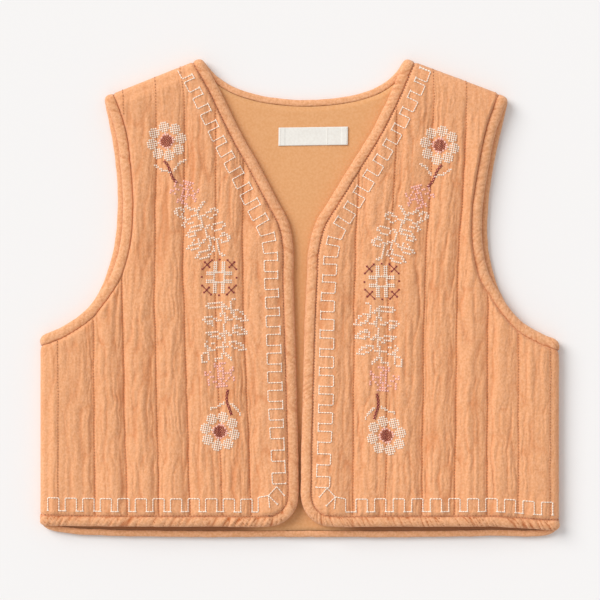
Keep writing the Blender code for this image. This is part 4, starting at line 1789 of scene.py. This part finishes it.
LOWER_STEMS = (
    ((46.4, 172.4), (48.2, 172.3), (49.2, 170.3), (49.2, 167.1), (48.2, 162.0)),
    ((53.5, 166.3), (50.3, 164.6)),
    ((55.8, 167.8), (55.3, 162.0), (57.0, 159.4)),
    ((53.5, 161.0), (52.5, 157.2), (54.0, 154.0), (53.5, 148.8), (53.8, 141.7), (55.6, 138.5),
     (55.1, 133.1), (48.8, 128.1)),
    ((51.5, 156.4), (49.0, 157.4)),
    ((60.4, 157.5), (59.8, 155.9), (56.0, 155.9)),
    ((65.4, 154.6), (62.4, 152.9)),
    ((53.0, 148.0), (49.6, 146.0)),
    ((66.8, 141.1), (68.1, 139.0), (64.2, 135.7), (60.6, 135.0)),
    ((62.9, 139.7), (60.9, 140.3)),
    ((59.0, 136.9), (51.9, 137.2)),
    ((65.2, 132.5), (65.4, 135.0)),
    ((55.1, 133.1), (56.4, 129.2), (59.4, 128.9), (61.1, 126.3)),
)
BUD_CHART = (
    "...xxx.x....",
    ".....xxx....",
    "x...x.x.....",
    "xx..xxx..x.x",
    ".xxxx.x...xx",
    ".x..x.x.xx..",
    "x.x.xxx...x.",
    "x..x.x.xx.x.",
    "....xxx...x.",
    "...xxxxx....",
)
FLOWER_STEMS = (
    ((101.5, 271.1), (98.6, 268.3), (96.6, 263.6), (94.8, 259.0), (91.2, 254.9)),
    ((51.6, 106.8), (52.6, 101.2), (52.2, 96.6), (50.2, 92.4), (49.0, 88.3)),
)
SIDE_LEAVES = (
    ((107.4, 267.7), (102.0, 264.2), (96.2, 262.7)),
    ((86.4, 271.8), (90.6, 268.9), (93.5, 264.0)),
    ((64.0, 92.9), (59.6, 94.0), (54.1, 97.2)),
    ((49.8, 96.6), (45.9, 93.2), (42.3, 88.6)),
)


class StarRow(NamedTuple):
    """A row of burgundy stitches in the ring of the star, with a dot past each end."""

    half_stitch: float
    middles: tuple[float, ...]
    dot: float


@dataclass
class FlowerTrail(Embroidery):
    """The trail down a front: flower, bud, sprig, star, sprig, bud and flower.

    A petal is given as where it starts and ends from the flower's centre and its half width.
    """

    cream_thread: float = 0.38
    colour_thread: float = 0.36
    eye_thread: float = 0.26
    large_petal: tuple[float, float, float] = (5.4, 14.7, 4.2)
    small_petal: tuple[float, float, float] = (6.6, 13.9, 3.6)
    petal_neck: float = 0.3
    petal_widest: float = 0.52
    eye_cell: float = 1.58
    eye_radius: float = 2.7
    ring_radius: float = 3.5
    upper_flower: Lattice = Lattice(Spot(99.9, 285.1), np.radians(-11.5), 1.5)
    lower_flower: Lattice = Lattice(Spot(57.3, 76.5), np.radians(11.5), 1.5)
    upper_sprig: Lattice = Lattice(Spot(77.4, 222.0), np.radians(-14.0), 1.58)
    lower_sprig: Lattice = Lattice(Spot(56.0, 150.0), np.radians(-5.0), 1.6)
    upper_bud: Lattice = Lattice(Spot(85.9, 248.4), np.radians(14.0), 1.72)
    lower_bud: Lattice = Lattice(Spot(57.6, 117.1), np.radians(-5.0), 1.82)
    star_lattice: Lattice = Lattice(Spot(58.2, 187.3), 0.0, 1.44)
    star_corner: Pair = (8.9, 9.1)
    long_row: StarRow = StarRow(1.5, (-3.0, 0.0, 3.0), 4.6)
    short_row: StarRow = StarRow(1.2, (-1.2, 1.2), 2.5)
    dot: Pair = (0.6, 0.6)
    outer_dot: Pair = (0.6, 0.5)
    outer_dots: Line = ((0.0, 12.8), (0.0, -12.8), (12.5, 0.3), (-12.5, -0.3))

    def flower(self, lattice: Lattice) -> tuple[Array, Array, Array]:
        """Cream petals, pink ring and burgundy eye of a flower with eight petals.

        A petal starts as a narrow neck, widens towards the rim and ends round. Every other one
        is smaller.

        Args:
            lattice: The flower's centre, turn and cell.

        Returns:
            The start and end of every thread of the three.
        """
        cells = lattice.square(11)
        places = cells * lattice.cell
        petal = np.zeros(len(cells), bool)
        for number in range(8):
            angle = np.pi / 4 * number
            start, end, half_width = self.small_petal if number % 2 else self.large_petal
            away = places @ np.array((np.cos(angle), np.sin(angle)))
            aside = places @ np.array((-np.sin(angle), np.cos(angle)))
            share = (away - start) / (end - start)
            past_widest = 2.0 * np.maximum(share - self.petal_widest, 0.0)
            round_end = np.sqrt(np.clip(1.0 - past_widest**2, 0.0, 1.0))
            neck = self.petal_neck + (1.0 - self.petal_neck) * ease(2.0 * share)
            width = half_width * neck * round_end
            petal |= (share > 0.0) & (share < 1.0) & (np.abs(aside) < width)
        fine = Lattice(lattice.centre, lattice.turn, self.eye_cell)
        eye_cells = fine.square(5)
        radius = np.hypot(*eye_cells.T)
        eye, ring = radius < self.eye_radius, (radius >= self.eye_radius) & (radius < self.ring_radius)
        return (
            lattice.stitches(cells[petal], UPRIGHT_CROSS),
            fine.stitches(eye_cells[ring], SMALL_CROSS),
            fine.stitches(eye_cells[eye], SLANTING_CROSS),
        )

    def star(self) -> tuple[Array, Array]:
        """Cream double bars crossed two by two, and a burgundy ring of crosses and dots.

        Returns:
            The start and end of every cream thread, and of every burgundy one.
        """
        upright = [
            (side * column, row)
            for side in (-1, 1)
            for column in (1.5, 2.5)
            for row in np.arange(-7.5, 8.0)
            if column > 2.0 or abs(row) > 2.2
        ]
        level = [
            (column, side * row)
            for side in (-1, 1)
            for row in (1.5, 2.5)
            for column in np.arange(-6.0, 6.5)
            if abs(column) > 2.9 or row > 2.0
        ]
        lattice = self.star_lattice
        cream = lattice.stitches(np.array(upright + level), UPRIGHT_CROSS)
        strokes, marks = [], [(np.array(spot), self.outer_dot) for spot in self.outer_dots]
        for side, end in ((-1, -1), (-1, 1), (1, -1), (1, 1)):
            spot = np.array((side, end)) * self.star_corner
            for row, slope in ((self.long_row, -side * end), (self.short_row, side * end)):
                way = np.array((1.0, slope)) / np.sqrt(2.0)
                half = way * row.half_stitch
                middles = [spot + way * middle for middle in row.middles]
                strokes += [(middle - half, middle + half) for middle in middles]
                marks += [(spot + way * dot, self.dot) for dot in (row.dot, -row.dot)]
        for spot, (across, rise) in marks:
            for reach in ((across, rise), (across, -rise)):
                strokes.append((spot - reach, spot + reach))
        return cream, np.array(strokes) + np.array(lattice.centre)

    def bud(self, lattice: Lattice, upwards: int) -> Array:
        """Small crosses after the bud's chart."""
        cells = [
            (column - 5.5, upwards * (4.5 - row))
            for row, text in enumerate(BUD_CHART)
            for column, mark in enumerate(text)
            if mark == "x"
        ]
        return lattice.stitches(np.array(cells), SMALL_CROSS)

    def sprig(self, lattice: Lattice, leaves: tuple[Leaf, ...], stems: tuple[Line, ...]) -> Array:
        """Small crosses on every counted cell of a sprig's leaves and stems."""
        parts = [lattice.oval(*leaf) for leaf in leaves] + [lattice.along(stem) for stem in stems]
        return lattice.stitches(np.unique(np.vstack(parts), axis=0), SMALL_CROSS)

    def chained(self, line: Line, cell: float = 2.3, half_width: float = 1.0) -> Array:
        """Slanting crosses in a chain along a line.

        Args:
            line: The line's corners.
            cell: Length of a cross, about.
            half_width: Half its width.

        Returns:
            The start and end of every thread.
        """
        spots = resample(np.array(line), int(round(run_along(np.array(line))[-1] / cell)))
        ahead = np.diff(spots, axis=0)
        aside = np.stack((-ahead[:, 1], ahead[:, 0]), axis=1)
        aside = half_width * aside / np.hypot(*aside.T)[:, None]
        one = np.stack((spots[:-1] + aside, spots[1:] - aside), axis=1)
        other = np.stack((spots[:-1] - aside, spots[1:] + aside), axis=1)
        return np.vstack((one, other))

    def build(self, cream: Material, pink: Material, burgundy: Material) -> None:
        """Make one piece for each thread colour."""
        upper, lower = self.flower(self.upper_flower), self.flower(self.lower_flower)
        star_cream, star_burgundy = self.star()
        cream_rows = [upper[0], lower[0], star_cream]
        cream_rows.append(self.sprig(self.upper_sprig, UPPER_LEAVES, UPPER_STEMS))
        cream_rows.append(self.sprig(self.lower_sprig, LOWER_LEAVES, LOWER_STEMS))
        cream_rows.append(self.sprig(Lattice(Spot(0.0, 0.0), 0.0, 1.3), (), SIDE_LEAVES))
        pink_rows = [upper[1], lower[1], self.bud(self.upper_bud, -1), self.bud(self.lower_bud, 1)]
        burgundy_rows = [self.chained(line) for line in FLOWER_STEMS] + [star_burgundy]
        eyes = [upper[2], lower[2]]
        for name, slot, rows, thread, material in (
            ("cream_embroidery", "cream_thread", cream_rows, self.cream_thread, cream),
            ("pink_embroidery", "pink_thread", pink_rows, self.colour_thread, pink),
            ("burgundy_embroidery", "burgundy_thread", burgundy_rows, self.colour_thread, burgundy),
            ("flower_eyes", "burgundy_thread", eyes, self.eye_thread, burgundy),
        ):
            stitches = self.fitted(np.vstack(rows))
            tubes = StitchTubes(thread, 4, self.places)
            made = tubes.piece(f"{self.panel.side.word}_{name}", stitches[:, 0], stitches[:, 1])
            made.make(material)


@dataclass
class KeyBorder(Embroidery):
    """The key border: a square wave in thick cream cotton along neck, front and hem."""

    thread: float = 0.5
    stitch: float = 1.9
    middle_depth: float = 20.6
    first: float = 1.0
    periods: tuple[tuple[int, float], ...] = ((1, 10.8), (12, 13.0), (8, 13.4), (3, 16.2))
    far_length: float = 7.9
    near_depths: tuple[Pair, ...] = (
        (0.0, 12.2), (150.0, 11.9), (190.0, 10.8), (300.0, 10.0), (335.0, 8.8),
    )
    far_depths: tuple[Pair, ...] = (
        (0.0, 20.3), (60.0, 20.7), (100.0, 22.0), (125.0, 22.3), (160.0, 21.3), (190.0, 20.4),
        (260.0, 20.7), (300.0, 19.4), (335.0, 18.6),
    )
    hem_first: Pair = (34.2, 40.4)
    hem_pitch: Pair = (12.62, 13.33)
    hem_count: tuple[int, int] = (12, 11)
    hem_far: float = 8.1
    hem_rises: Pair = (11.1, 20.3)
    corner_far: tuple[Spot, Spot] = (Spot(16.4, 37.0), Spot(22.4, 30.7))
    corner_near: tuple[Spot, Spot] = (Spot(11.1, 30.5), Spot(16.0, 24.4))
    corner_next: tuple[Spot, Spot] = (Spot(29.8, 29.2), Spot(21.6, 21.8))
    left_later: float = 2.6
    left_deeper: float = 1.9
    deeper_from: float = 140.0
    deeper_over: float = 180.0
    left_corner_shift: Pair = (3.2, -1.0)
    hem_band: float = 3.0
    foot: float = 0.9
    corner_foot: Pair = (0.7, -0.7)
    filled: float = 0.9
    fold_clear: float = 1.5

    def bars(self, near: Array, far: Array, run: Array) -> list[Array]:
        """Legs, far sides and near sides of a row of periods, from their two ends each.

        Args:
            near: Near corners by period and end.
            far: Far corners by period and end.
            run: The way along the border at each of them.

        Returns:
            Strokes as starts and ends.
        """
        feet = np.stack((near - self.foot * run, near + self.foot * run), axis=2)
        return [
            np.stack((near, far), axis=2).reshape(-1, 2, 2),
            far,
            np.stack((near[:-1, 1], near[1:, 0]), axis=1),
            feet.reshape(-1, 2, 2),
        ]

    def strokes(self) -> Array:
        """All straight strokes of the border, from the shoulder down and along the hem.

        Returns:
            The start and end of every stroke.
        """
        edge = self.panel.outlines.front
        shifted = self.panel.side is Side.WEARERS_LEFT
        steps = np.concatenate([np.full(count, pitch) for count, pitch in self.periods])
        starts = self.first + self.left_later * shifted + np.cumsum(steps) - steps
        middle = edge.inside(self.middle_depth)
        ends = np.stack((starts, starts + self.far_length), axis=1)
        run = np.interp(ends, run_along(middle), edge.along)
        deeper = self.left_deeper * shifted * ease((run - self.deeper_from) / self.deeper_over)
        near_depth = np.interp(run, *np.array(self.near_depths).T) + deeper
        far_depth = np.interp(run, *np.array(self.far_depths).T) + deeper
        near = edge.at(run.ravel(), near_depth.ravel()).reshape(-1, 2, 2)
        far = edge.at(run.ravel(), far_depth.ravel()).reshape(-1, 2, 2)
        ahead = edge.at(run.ravel() + 1.0, near_depth.ravel()).reshape(-1, 2, 2) - near
        rows = self.bars(near, far, ahead)

        number = int(shifted)
        outs = self.hem_first[number] + self.hem_pitch[number] * np.arange(self.hem_count[number])
        outs = np.stack((outs, outs + self.hem_far), axis=1)
        hem_line = edge.spots[edge.spots[:, 1] < LAYING.hem_rise + self.hem_band]
        base = np.interp(outs, hem_line[:, 0], hem_line[:, 1])
        near_hem = np.stack((outs, base + self.hem_rises[0]), axis=-1)
        far_hem = np.stack((outs, base + self.hem_rises[1]), axis=-1)
        level = np.zeros_like(near_hem) + np.array((1.0, 0.0))
        hem = np.vstack(self.bars(near_hem, far_hem, level))

        shift = np.array(self.left_corner_shift) * shifted
        far_corner, near_corner = self.corner_far + shift, self.corner_near + shift
        after, low = self.corner_next + shift
        knot = np.array((after[0], near_hem[0, 0, 1]))
        across = np.array(self.corner_foot) * self.foot
        corner = np.array((
            (far_corner[0], far_corner[1]),
            (far_corner[0], near_corner[0]),
            (far_corner[1], near_corner[1]),
            (near_corner[0] - across, near_corner[0] + across),
            (near_corner[1] - across, near_corner[1] + across),
            (far_corner[1], after),
            (far_corner[1], low),
            (after, knot),
            (knot, near_hem[0, 0]),
        ))
        return np.vstack((*rows, corner, hem))

    def build(self, cream: Material) -> None:
        """Make the border's stitches."""
        starts, ends = [], []
        for here, after in self.strokes():
            count = max(1, int(round(float(np.hypot(*(after - here))) / self.stitch)))
            share = np.arange(count)[:, None] / count
            starts.append(here + share * (after - here))
            ends.append(here + (share + self.filled / count) * (after - here))
        starts, ends = np.vstack(starts), np.vstack(ends)
        kept = LAYING.inside_folds(starts) > self.fold_clear
        kept &= LAYING.inside_folds(ends) > self.fold_clear
        tubes = StitchTubes(self.thread, 4, self.places, sunk=0.3, proud=0.5)
        name = f"{self.panel.side.word}_key_border"
        made = tubes.piece(name, starts[kept], ends[kept]).make(cream)


@dataclass
class Sewing(Embroidery):
    """The machine stitches along the quilting lines and in the ditch of the bindings."""

    thread: float = 0.3
    pitch: float = 2.1
    length: float = 1.15
    ditch: float = 7.9
    margins: Pair = (3.0, 4.0)
    edge_clear: float = 8.5
    fold_clear: float = 0.4

    def quilting(self) -> tuple[Array, Array]:
        """Starts and ends of the stitches along every quilting line that crosses this front."""
        panel = self.panel
        up = np.arange(LAYING.hem_rise + self.edge_clear, LAYING.neck_end.up, self.pitch)
        lines = panel.quilting.lines(up)[1:-1]
        starts = np.stack((lines, np.broadcast_to(up, lines.shape)), axis=-1).reshape(-1, 2)
        to_edge = distance_to_edges(starts, (panel.outlines.front, panel.outlines.front_armhole))
        left, right = panel.sides
        inside = starts[:, 0] > np.interp(starts[:, 1], left[:, 1], left[:, 0])
        inside &= starts[:, 0] < np.interp(starts[:, 1], right[:, 1], right[:, 0])
        inside &= (to_edge > self.edge_clear) & (LAYING.inside_folds(starts) > self.fold_clear)
        return starts[inside], starts[inside] + np.array((0.0, self.length))

    def ditches(self) -> tuple[Array, Array]:
        """Starts and ends of the stitches beside the binding of the front edge and the hem."""
        edge = self.panel.outlines.front
        run = np.arange(self.margins[0], edge.along[-1] - self.margins[1], self.pitch)
        depth = np.full(len(run), self.ditch)
        return edge.at(run, depth), edge.at(run + self.length, depth)

    def build(self, apricot: Material) -> None:
        """Make the stitches."""
        groups = (self.quilting(), self.ditches())
        starts = np.vstack([group[0] for group in groups])
        ends = np.vstack([group[1] for group in groups])
        tubes = StitchTubes(self.thread, 3, self.places)
        made = tubes.piece(f"{self.panel.side.word}_quilting_stitches", starts, ends).make(apricot)


@dataclass
class Studio:
    """A pale floor, soft daylight from the upper left and a camera straight overhead."""

    camera_height: float = 2.2
    aim: Pair = (0.0002, -0.00125)
    view_width: float = 0.432
    focus_height: float = 0.007
    sensor: float = 36.0
    window_from: tuple[float, float, float] = (-1.35, 1.0, 1.25)
    window_strength: float = 2.35
    window_spread: float = 38.0
    sky_strength: float = 0.596

    def build(self) -> None:
        """Make the floor, the light and the camera."""
        scene = bpy.context.scene
        scene.view_settings.view_transform = "Standard"
        self.floor()
        self.window()
        world = bpy.data.worlds.new("studio")
        world.use_nodes = True
        background = world.node_tree.nodes["Background"]
        background.inputs["Color"].default_value = (1.0, 1.0, 1.0, 1.0)
        background.inputs["Strength"].default_value = self.sky_strength
        scene.world = world
        camera = bpy.data.cameras.new("overhead_camera")
        camera.sensor_width = self.sensor
        camera.lens = self.sensor * (self.camera_height - self.focus_height) / self.view_width
        seat = bpy.data.objects.new("overhead_camera", camera)
        seat.location = (*self.aim, self.camera_height)
        scene.collection.objects.link(seat)
        scene.camera = seat

    def floor(self) -> None:
        """A wide sheet of matte white paper just under the cloth."""
        half, drop = 4.0, -0.0003
        corners = [(-half, -half, drop), (half, -half, drop), (half, half, drop), (-half, half, drop)]
        mesh = bpy.data.meshes.new("paper_floor")
        mesh.from_pydata(corners, [], [(0, 1, 2, 3)])
        # Uncoated paper: dull and slightly warm, so that the shadow on it stays soft
        material, tree = new_material("matte white paper")
        shader = add_node(
            tree,
            "BsdfPrincipled",
            {"Base Color": hex_colour("#F3F1F0"), "Roughness": 0.95, "Specular IOR Level": 0.1},
        )
        add_node(tree, "OutputMaterial", {"Surface": shader.outputs["BSDF"]})
        mesh.materials.append(material)
        floor = bpy.data.objects.new("paper_floor", mesh)
        bpy.context.scene.collection.objects.link(floor)

    def window(self) -> None:
        """Wide soft light that reaches every part of the floor alike."""
        lamp = bpy.data.lights.new("window", "SUN")
        lamp.energy = self.window_strength
        lamp.angle = np.radians(self.window_spread)
        holder = bpy.data.objects.new("window", lamp)
        holder.location = self.window_from
        way = -np.array(self.window_from)
        flat = float(np.hypot(way[0], way[1]))
        holder.rotation_euler = (
            np.arctan2(flat, -way[2]), 0.0, np.arctan2(way[1], way[0]) - np.pi / 2
        )
        bpy.context.scene.collection.objects.link(holder)


def build_bindings(outlines: Outlines, material: Material) -> None:
    """Make the six binding strips."""
    whole = Side.WEARERS_LEFT.value
    for part, edge, seed in (("neck", outlines.neck, 101), ("hem", outlines.hem, 105)):
        Binding(
            f"back_{part}_strip", f"back_{part}_binding", [(edge, Layer.BACK, whole)], False, seed
        ).build(material)
    under_arm = outlines.back_armhole.backwards()
    for side, seed in ((Side.WEARERS_LEFT, 111), (Side.WEARERS_RIGHT, 121)):
        Binding(
            f"{side.word}_front_edge_strip",
            f"{side.word}_front_edge_binding",
            [(outlines.front, Layer.FRONT, side.value)],
            False,
            seed,
            gathered_from=320.0,
        ).build(material)
        Binding(
            f"{side.word}_armhole_strip",
            f"{side.word}_armhole_binding",
            [
                (outlines.front_armhole, Layer.FRONT, side.value),
                (under_arm, Layer.BACK, side.value),
            ],
            True,
            seed + 5,
        ).build(material)


def main() -> None:
    """Build the waistcoat's looks, piece by piece."""
    logging.basicConfig(level=logging.INFO, format="%(name)s %(message)s")
    Studio().build()
    outlines = Outlines()
    gauze = DOUBLE_GAUZE.material()
    BackPanel(outlines).build(gauze)
    lining = Lining(outlines)
    lining.build(LINING_LAWN.material())
    NeckLabel(lining).build(WOVEN_SATIN.material(), WHITE_POLYESTER.material())
    build_bindings(outlines, BIAS_BINDING.material())
    cream, pink = CREAM_COTTON.material(), PINK_COTTON.material()
    burgundy, apricot = BURGUNDY_COTTON.material(), APRICOT_COTTON.material()
    for side in Side:
        panel = FrontPanel(side, outlines)
        panel.build(gauze)
        FlowerTrail(panel).build(cream, pink, burgundy)
        KeyBorder(panel).build(cream)
        Sewing(panel).build(apricot)


if __name__ == "__main__":
    main()
